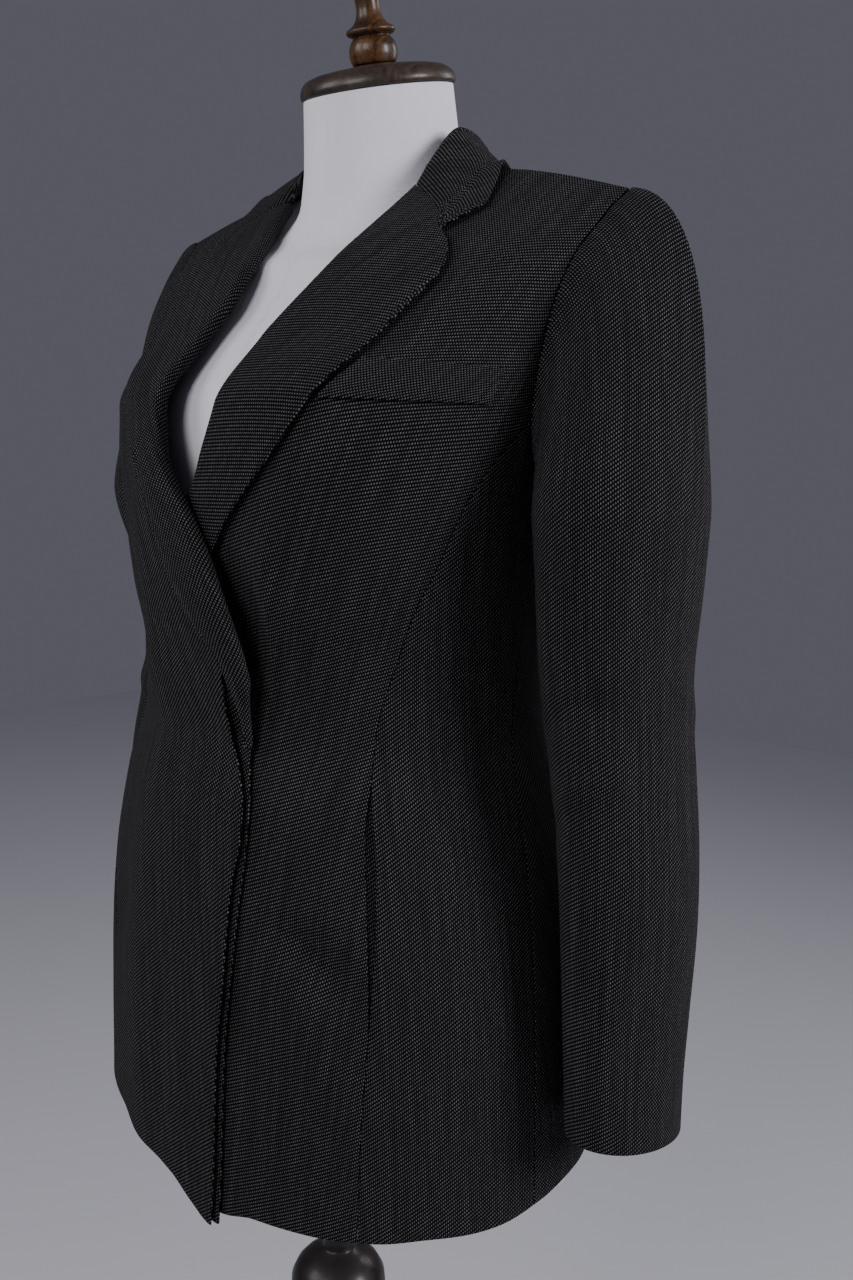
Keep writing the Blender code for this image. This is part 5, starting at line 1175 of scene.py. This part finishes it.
def sleeve_piece(name, sign, faces, columns, flat):
    """The shell of some of a sleeve's columns, on its own side, with room at its seams."""
    mirror = np.array([sign, 1, 1])
    parts = (pulled_in(face[:, columns], gap=SLEEVE_SEAM_GAP, edges="lr") * mirror for face in faces)
    parts = (pulled_in(part, gap=ARMHOLE_GAP, edges="b") for part in parts)
    return shell(name, *parts, flat * np.array([-sign, 1]))


def nearest(degrees, angle):
    """The column of a sleeve that lies nearest an angle round it."""
    return int(np.argmin(np.abs((degrees - angle + 180) % 360 - 180)))


def sleeve_uv(grid, outermost, both_ways):
    """Distance round the sleeve from its outermost line, and down it from the foot of the cap."""
    count = grid.shape[1]
    order = (outermost + np.arange(count + 1)) % count
    round_it = np.array([run_lengths(row[order]) for row in grid])
    across = np.empty(grid.shape[:2])
    across[:, order[:-1]] = round_it[:, :-1]
    if both_ways:
        whole = round_it[:, -1:]
        across = np.where(across > whole / 2, across - whole, across)
    down = np.stack([run_lengths(grid[:, j]) for j in range(count)], 1)
    return np.stack([across, down[SLEEVE_CAP_ROWS] - down], -1)


# ---------------------------------------------------------------- dress form and turned wood
def form_ring(level, turn):
    """Points round the form at one height: the outline of its neck or trunk, and of its shoulders."""
    sine, cosine = np.sin(turn), np.cos(turn)
    depth = np.where(cosine < 0, level["back"], level["front"])
    square = level["square"]
    reach = (np.abs(sine / level["half_width"]) ** square + np.abs(cosine / depth) ** square) ** (-1 / square)
    if level["wing"] > 0:
        wing = ((sine / level["wing"]) ** 2 + (cosine / max(level["wing_depth"], 1e-4)) ** 2) ** -0.5
        reach = (reach**FORM_BLEND + wing**FORM_BLEND) ** (1 / FORM_BLEND)
    return np.stack([reach * sine, level["middle_y"] - reach * cosine, level["height"] + 0 * turn], -1)


def form_shell():
    """The form's cloth cover: lid, sagging lower edge, trunk, shoulders and tilted neck."""
    turn = np.linspace(0, 2 * math.pi, FORM_COLUMNS_ROUND, endpoint=False)
    heights = np.linspace(FORM_LEVELS[0][0], FORM_LEVELS[-1][0], FORM_ROWS)
    rings = [form_ring(level, turn) for level in sections_at(FORM_LEVELS, FORM_COLUMNS, heights)]
    tilt, last = math.radians(NECK_TILT), rings[-1]
    side, front = FORM_NECK_RADIUS * np.sin(turn), FORM_NECK_RADIUS * np.cos(turn)
    depth, height = FORM_NECK_TOP_Y - front * math.cos(tilt), FORM_NECK_TOP_HEIGHT - front * math.sin(tilt)
    neck = np.stack([side, depth, height], -1)
    rings += [last * (1 - share) + neck * share for share in np.linspace(0, 1, NECK_RINGS + 1)[1:]]
    foot, middle = rings[0], rings[0].mean(axis=0)
    lid = [middle + (foot - middle) * share + np.array([0, 0, rise]) for share, rise in FORM_RIM]
    rings = np.array(lid + rings[1:])
    near_rim = np.clip((SAG_TOP - rings[..., 2]) / SAG_SPAN, 0, 1)
    near_rim[: len(FORM_RIM)] *= np.linspace(0, 1, len(FORM_RIM))[:, None]
    rings[..., 2] -= np.interp((np.degrees(turn) + 180) % 360 - 180, *np.transpose(COVER_SAG)) * near_rim
    rows, columns = rings.shape[:2]
    faces = grid_faces(rows, columns, 0, False, wrap=True)
    faces += [range(columns)[::-1], range((rows - 1) * columns, rows * columns)]
    round_it = np.broadcast_to(turn * FORM_GIRTH_RADIUS, (rows, columns))
    places = np.stack([round_it, rings[..., 2]], -1).reshape(-1, 2)
    obj = mesh_object("form_torso_cover", rings.reshape(-1, 3) + np.array([0, 0, HEM_LEVEL]), faces, places)
    obj.data.set_sharp_from_angle(angle=math.radians(FORM_SHARP))
    return obj


def eased(profile, rounds=2):
    """A turned profile with its corners cut, as sanding and varnish leave them; its ends stay."""
    points = np.array(profile, float)
    for _ in range(rounds):
        a, b = points[:-1], points[1:]
        cut = np.stack([a * 0.75 + b * 0.25, a * 0.25 + b * 0.75], 1).reshape(-1, 2)
        points = np.concatenate([points[:1], cut, points[-1:]])
    return points


def turned(name, profile, steps=TURNED_STEPS):
    """A turned piece: its profile swept round Z."""
    profile = eased(profile)
    turn = np.linspace(0, 2 * math.pi, steps, endpoint=False)
    radius, height = profile[1:-1, :1], profile[1:-1, 1:]
    rings = np.stack([radius * np.cos(turn), radius * np.sin(turn), height + 0 * turn], -1)
    rows, columns = rings.shape[:2]
    points = list(rings.reshape(-1, 3)) + [(0, 0, profile[0, 1]), (0, 0, profile[-1, 1])]
    faces = grid_faces(rows, columns, 0, False, wrap=True)
    top, bottom, last = rows * columns, rows * columns + 1, (rows - 1) * columns
    for j in range(columns):
        faces += [[top, j, (j + 1) % columns], [bottom, last + (j + 1) % columns, last + j]]
    obj = mesh_object(name, points, faces)
    obj.data.set_sharp_from_angle(angle=math.radians(WOOD_SHARP))
    return obj


def neck_wood():
    """The cap on the tilted neck, and the finial on the cap."""
    tilt = math.radians(NECK_TILT)
    lean = np.array([0, -math.sin(tilt), math.cos(tilt)])
    top = np.array([0, FORM_NECK_TOP_Y, FORM_NECK_TOP_HEIGHT + HEM_LEVEL])
    cap, finial = turned("neck_cap_wood", CAP_PROFILE), turned("finial_wood", FINIAL_PROFILE)
    cap.location = top + lean * (SEAM_GAP - CAP_PROFILE[-1][1])
    finial.location = top + lean * (2 * SEAM_GAP - CAP_PROFILE[-1][1] + CAP_PROFILE[0][1])
    for obj in (cap, finial):
        obj.rotation_euler = (tilt, 0, 0)
    return cap, finial


def stand_wood():
    """The post with its bulb and column, and the round base."""
    top, foot = HEM_LEVEL + FORM_LEVELS[0][0] - SEAM_GAP, BASE_THICKNESS + SEAM_GAP
    bulb_top, half = HEM_LEVEL + BULB_TOP, BULB_HEIGHT / 2
    bulb = arc((0, bulb_top - half), (BULB_RADIUS, half), BULB_TURNS)
    profile = [(0, top), (POST_RADIUS, top), (POST_RADIUS, bulb_top + BULB_NECK), *bulb]
    profile.append((COLUMN_RADIUS, bulb[-1][1] - COLUMN_NECK))
    profile += [(radius, foot + height) for radius, height in COLUMN_FOOT] + [(0, foot)]
    rim_centre = (BASE_RADIUS - BASE_ROUND, BASE_THICKNESS - BASE_ROUND)
    rim = arc(rim_centre, BASE_ROUND, np.linspace(90, 0, RIM_STEPS + 1))
    base = [(0, BASE_THICKNESS), (BASE_MIDDLE, BASE_THICKNESS), *rim]
    base += [(BASE_RADIUS, BASE_CHAMFER), (BASE_RADIUS - BASE_CHAMFER, 0), (0, 0)]
    return turned("post_wood", profile), turned("base_wood", base, steps=BASE_STEPS)


# ---------------------------------------------------------------- materials
class Graph:
    """A new material, with short calls for the nodes that the materials below share."""

    def __init__(self, name):
        self.material = bpy.data.materials.new(name)
        self.material.use_nodes = True
        self.nodes, self.links = self.material.node_tree.nodes, self.material.node_tree.links

    def put(self, socket, value):
        if isinstance(value, bpy.types.NodeSocket):
            self.links.new(value, socket)
        else:
            socket.default_value = value

    def node(self, kind, inputs, **settings):
        """Outputs of a new node with its inputs, a list or a dict, set to constants or other outputs."""
        node = self.nodes.new("ShaderNode" + kind)
        for name, value in settings.items():
            setattr(node, name, value)
        for socket, value in inputs.items() if isinstance(inputs, dict) else enumerate(inputs):
            self.put(node.inputs[socket], value)
        return node.outputs

    def finished(self, inputs):
        """The material, with its shader's inputs set by name."""
        for name, value in inputs.items():
            self.put(self.nodes["Principled BSDF"].inputs[name], value)
        return self.material

    def math(self, kind, *values, clamp=False):
        return self.node("Math", values, operation=kind, use_clamp=clamp)[0]

    def times(self, a, b, clamp=False):
        return self.math("MULTIPLY", a, b, clamp=clamp)

    def plus(self, a, b):
        return self.math("ADD", a, b)

    def vector(self, *places):
        return self.node("CombineXYZ", places)[0]

    def scaled(self, places, *factors):
        """A vector of places, each times its own factor."""
        return self.vector(*(self.times(place, factor) for place, factor in zip(places, factors)))

    def noise(self, place, scale=1.0, detail=2.0, roughness=0.5, distortion=0.0):
        inputs = {"Scale": scale, "Detail": detail, "Roughness": roughness, "Distortion": distortion}
        return self.node("TexNoise", {"Vector": place} | inputs)["Fac"]

    def speckle(self, place):
        return self.node("TexWhiteNoise", {"Vector": place}, noise_dimensions="3D")["Value"]

    def blend(self, share, a, b):
        return self.node("Mix", {"Factor": share, 6: a, 7: b}, data_type="RGBA")[2]

    def span(self, value, low, high, to_low=0.0, to_high=1.0):
        return self.node("MapRange", (value, low, high, to_low, to_high), interpolation_type="SMOOTHSTEP")[0]

    def bump(self, height, distance, strength):
        return self.node("Bump", {"Height": height, "Distance": distance, "Strength": strength})[0]

    def split(self, vector):
        return list(self.node("SeparateXYZ", [vector]))

    def grain(self):
        """Cloth coordinates in metres, across and along the grain."""
        return self.split(self.node("UVMap", [], uv_map="grain")[0])[:2]

    def place(self):
        return self.node("TexCoord", [])["Object"]


PIN_ACROSS, PIN_ALONG = 0.00133, 0.00255     # spacing of the pin dots across and along the grain
PIN_SHIFT = 1 / 3                            # each column's dots stand this share higher than the last's
PIN_HALF_ACROSS, PIN_HALF_ALONG = 0.32, 0.29
GROUND = (0.0026, 0.0023, 0.0031, 1.0)
PIN = (0.135, 0.128, 0.136, 1.0)
PIN_DULL = (0.026, 0.024, 0.026, 1.0)
COVER_DULL, COVER_PALE = (0.70, 0.685, 0.755, 1.0), (0.80, 0.79, 0.85, 1.0)
COVER_THREADS = 7800.0        # radians for each metre
WOOD_COLUMNS = ("dark", "light", "worn", "worn_share")
WOODS = {
    "cap_wood": ((0.014, 0.009, 0.007, 1), (0.052, 0.033, 0.022, 1), (0.17, 0.13, 0.10, 1), 0.45),
    "finial_varnish": ((0.010, 0.004, 0.0015, 1), (0.125, 0.050, 0.014, 1), (0.26, 0.14, 0.06, 1), 0.35),
    "stand_varnish": ((0.006, 0.004, 0.003, 1), (0.020, 0.011, 0.007, 1), (0.05, 0.035, 0.025, 1), 0.3),
}


def pin_dot_cloth(name):
    """Black wool with pale pin dots in slanting rows, uneven from yarn to yarn as woven cloth is."""
    g = Graph(name)
    u, v = g.grain()
    column_at = g.math("DIVIDE", u, PIN_ACROSS)
    column = g.math("FLOOR", column_at)
    row_at = g.math("SUBTRACT", g.math("DIVIDE", v, PIN_ALONG), g.times(column, PIN_SHIFT))
    row = g.math("FLOOR", row_at)
    off = [g.math("DIVIDE", g.math("SUBTRACT", g.math("FRACT", at), 0.5), half)
           for at, half in ((column_at, PIN_HALF_ACROSS), (row_at, PIN_HALF_ALONG))]
    pin = g.span(g.plus(*(g.times(part, part) for part in off)), 1.15, 0.35)
    yarn = g.noise(g.scaled((column, v), 0.37, 14.0))
    band = g.noise(g.scaled((u, v), 260.0, 5.0))
    light = g.times(g.span(yarn, 0.30, 0.70, 0.68, 1.14), g.span(band, 0.30, 0.70, 0.80, 1.10))
    light = g.times(light, g.math("MULTIPLY_ADD", g.speckle(g.vector(column, row)), 0.5, 0.75))
    pin_colour = g.blend(g.times(light, 0.75, clamp=True), PIN_DULL, PIN)
    weave = g.math("SINE", g.times(column_at, 4 * math.pi))
    ground = g.blend(g.math("MULTIPLY_ADD", weave, 0.03, 0.03), GROUND, PIN_DULL)
    fuzz = g.noise(g.scaled((u, v), 3000.0, 3000.0))
    return g.finished({
        "Base Color": g.blend(pin, ground, pin_colour),
        "Normal": g.bump(g.plus(pin, g.times(fuzz, 0.5)), 0.00022, 0.8),
        "Roughness": 0.88,
        "Specular IOR Level": 0.04,
        "Sheen Weight": 0.012,
        "Sheen Roughness": 0.45,
        "Sheen Tint": (0.75, 0.74, 0.80, 1.0),
    })


def form_cover_cloth():
    """Fine white cotton, drawn smooth over the form."""
    g = Graph("form_cover")
    u, v = g.grain()
    threads = g.times(*(g.math("SINE", g.times(at, COVER_THREADS)) for at in (u, v)))
    slub = g.noise(g.scaled((u, v), 90.0, 900.0), detail=3.0)
    cloud = g.noise(g.place(), 14.0, 3.0)
    return g.finished({
        "Base Color": g.blend(g.plus(g.times(slub, 0.5), g.times(cloud, 0.5)), COVER_DULL, COVER_PALE),
        "Normal": g.bump(g.plus(g.times(threads, 0.35), slub), 0.00012, 0.6),
        "Roughness": 0.92,
        "Specular IOR Level": 0.2,
        "Sheen Weight": 0.08,
    })


def varnished_wood(name):
    """Turned, stained and varnished wood: fine long grain, soft rings, and worn paler edges."""
    wood = dict(zip(WOOD_COLUMNS, WOODS[name]))
    g = Graph(name)
    place = g.place()
    xyz = g.split(place)
    rings = g.noise(g.scaled(xyz, 9.0, 1.0, 1.0), 55.0, 4.0, 0.6, 0.6)
    fibre = g.noise(g.scaled(xyz, 40.0, 900.0, 900.0))
    tone = g.plus(g.times(rings, 0.7), g.times(fibre, 0.3))
    stain = g.span(g.noise(place, 26.0, 3.0), 0.36, 0.60, 0.25, 1.0)
    colour = g.blend(g.times(g.span(tone, 0.30, 0.70), stain), wood["dark"], wood["light"])
    edge = g.node("NewGeometry", [])["Pointiness"]
    scuff = g.noise(place, 180.0, 3.0)
    rub = g.times(g.span(edge, 0.51, 0.60), g.span(scuff, 0.35, 0.62))
    return g.finished({
        "Base Color": g.blend(g.times(rub, wood["worn_share"]), colour, wood["worn"]),
        "Roughness": g.span(scuff, 0.2, 0.8, 0.34, 0.52),
        "Normal": g.bump(tone, 0.00025, 0.35),
        "Specular IOR Level": 0.3,
        "Coat Weight": 0.18,
        "Coat Roughness": 0.20,
    })


def matt(name, colour, roughness):
    """Plain matt paint, very slightly clouded."""
    g = Graph(name)
    darker = tuple(part * 0.97 for part in colour[:3]) + (1.0,)
    painted = g.blend(g.noise(g.place(), 3.0), darker, colour)
    return g.finished({"Base Color": painted, "Roughness": roughness})


# ---------------------------------------------------------------- stage
CAMERA_PLACE = (0.604, -0.649, 0.479 + HEM_LEVEL)
CAMERA_TURN, CAMERA_PITCH, CAMERA_ROLL = 39.3, 8.8, 1.4      # degrees
PHOTO_HEIGHT, FOCAL_PIXELS, SENSOR = 1280, 1250, 36.0


def add_camera():
    """The camera that was fitted to the photograph."""
    turn, pitch, roll = (math.radians(a) for a in (CAMERA_TURN, CAMERA_PITCH, CAMERA_ROLL))
    forward = Vector((-math.sin(turn) * math.cos(pitch), math.cos(turn) * math.cos(pitch), -math.sin(pitch)))
    right = Vector((math.cos(turn), math.sin(turn), 0))
    up = right.cross(forward)
    right, up = right * math.cos(roll) + up * math.sin(roll), up * math.cos(roll) - right * math.sin(roll)
    data = bpy.data.cameras.new("camera")
    data.sensor_fit, data.sensor_width, data.sensor_height = "VERTICAL", SENSOR, SENSOR
    data.lens = SENSOR * FOCAL_PIXELS / PHOTO_HEIGHT
    data.dof.use_dof = False
    camera = bpy.data.objects.new("camera", data)
    camera.matrix_world = Matrix((
        (right.x, up.x, -forward.x, CAMERA_PLACE[0]),
        (right.y, up.y, -forward.y, CAMERA_PLACE[1]),
        (right.z, up.z, -forward.z, CAMERA_PLACE[2]),
        (0, 0, 0, 1),
    ))
    bpy.context.scene.collection.objects.link(camera)
    bpy.context.scene.camera = camera


LIGHT_COLUMNS = ("name", "azimuth", "height", "distance", "width", "tall", "watts", "colour")
LIGHTS = (
    ("key", 5.0, 2.10, 2.2, 1.0, 1.1, 28.0, (1.0, 0.985, 0.99)),
    ("left", -35.0, 2.10, 2.2, 1.0, 1.1, 20.0, (1.0, 0.985, 0.99)),
    ("fill", 104.0, 1.9, 2.4, 0.8, 1.2, 58.0, (0.98, 0.975, 1.0)),
    ("rim", 165.0, 2.0, 2.2, 0.6, 1.2, 10.0, (0.95, 0.96, 1.0)),
)
LIGHT_AIM = (0.0, 0.0, 1.10)
FLOOR_SIZE, FLOOR_COLOUR = 8.0, (0.60, 0.60, 0.64, 1.0)
WORLD_COLOUR, WORLD_STRENGTH = (0.100, 0.100, 0.124, 1.0), 1.0


def add_lights():
    """Area lights round the object, all aimed at one point, and a dim grey world."""
    for row in LIGHTS:
        light = dict(zip(LIGHT_COLUMNS, row))
        data = bpy.data.lights.new(light["name"], "AREA")
        data.shape, data.size, data.size_y = "RECTANGLE", light["width"], light["tall"]
        data.energy, data.color = light["watts"], light["colour"]
        obj = bpy.data.objects.new(light["name"], data)
        turn, away = math.radians(light["azimuth"]), light["distance"]
        place = Vector((away * math.sin(turn), -away * math.cos(turn), light["height"]))
        obj.location = place
        obj.rotation_euler = (Vector(LIGHT_AIM) - place).to_track_quat("-Z", "Y").to_euler()
        bpy.context.scene.collection.objects.link(obj)
    world = bpy.data.worlds.new("studio")
    world.use_nodes = True
    background = world.node_tree.nodes["Background"]
    background.inputs["Color"].default_value = WORLD_COLOUR
    background.inputs["Strength"].default_value = WORLD_STRENGTH
    bpy.context.scene.world = world


def add_floor():
    """A plain pale floor."""
    half = FLOOR_SIZE / 2
    corners = [(-half, -half, 0), (half, -half, 0), (half, half, 0), (-half, half, 0)]
    mesh = bpy.data.meshes.new("floor")
    mesh.from_pydata(corners, [], [(0, 1, 2, 3)])
    floor = bpy.data.objects.new("floor", mesh)
    bpy.context.scene.collection.objects.link(floor)
    mesh.materials.append(matt("floor_paint", FLOOR_COLOUR, 0.7))


def dress(obj, material, node):
    """Gives a piece its material and slot, puts it in its solid's place, and lets it ride on the body."""
    obj.data.materials.clear()
    obj.data.materials.append(material)
    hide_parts(node)
    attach(obj, "root")


def declare_sheet(obj):
    """Reads a shell's cloth coordinates into an array; nothing further is done with them."""
    corners = np.zeros(len(obj.data.loops) * 2, np.float32)
    obj.data.uv_layers["grain"].uv.foreach_get("vector", corners)


def main():
    """Makes the pieces in the table's order, and then the stage."""
    shells = [make(sign) for sign in (1, -1) for make in (front_shell, side_front_shell, back_shell,
                                                          lapel_shell, pocket_back_shell)]
    shells += [fly_shell(), welt_shell(), collar_shell(), *sleeve_shells()]
    cloth = pin_dot_cloth("pin_dot_wool")
    for obj in shells:
        dress(obj, cloth, obj.name.removesuffix("_cloth"))
        declare_sheet(obj)
    dress(form_shell(), form_cover_cloth(), "form_torso")
    cap, finial = neck_wood()
    dress(cap, varnished_wood("cap_wood"), "neck_cap")
    dress(finial, varnished_wood("finial_varnish"), "finial")
    dark = varnished_wood("stand_varnish")
    for obj in stand_wood():
        dress(obj, dark, obj.name.removesuffix("_wood"))
    add_floor()
    add_lights()
    add_camera()


main()
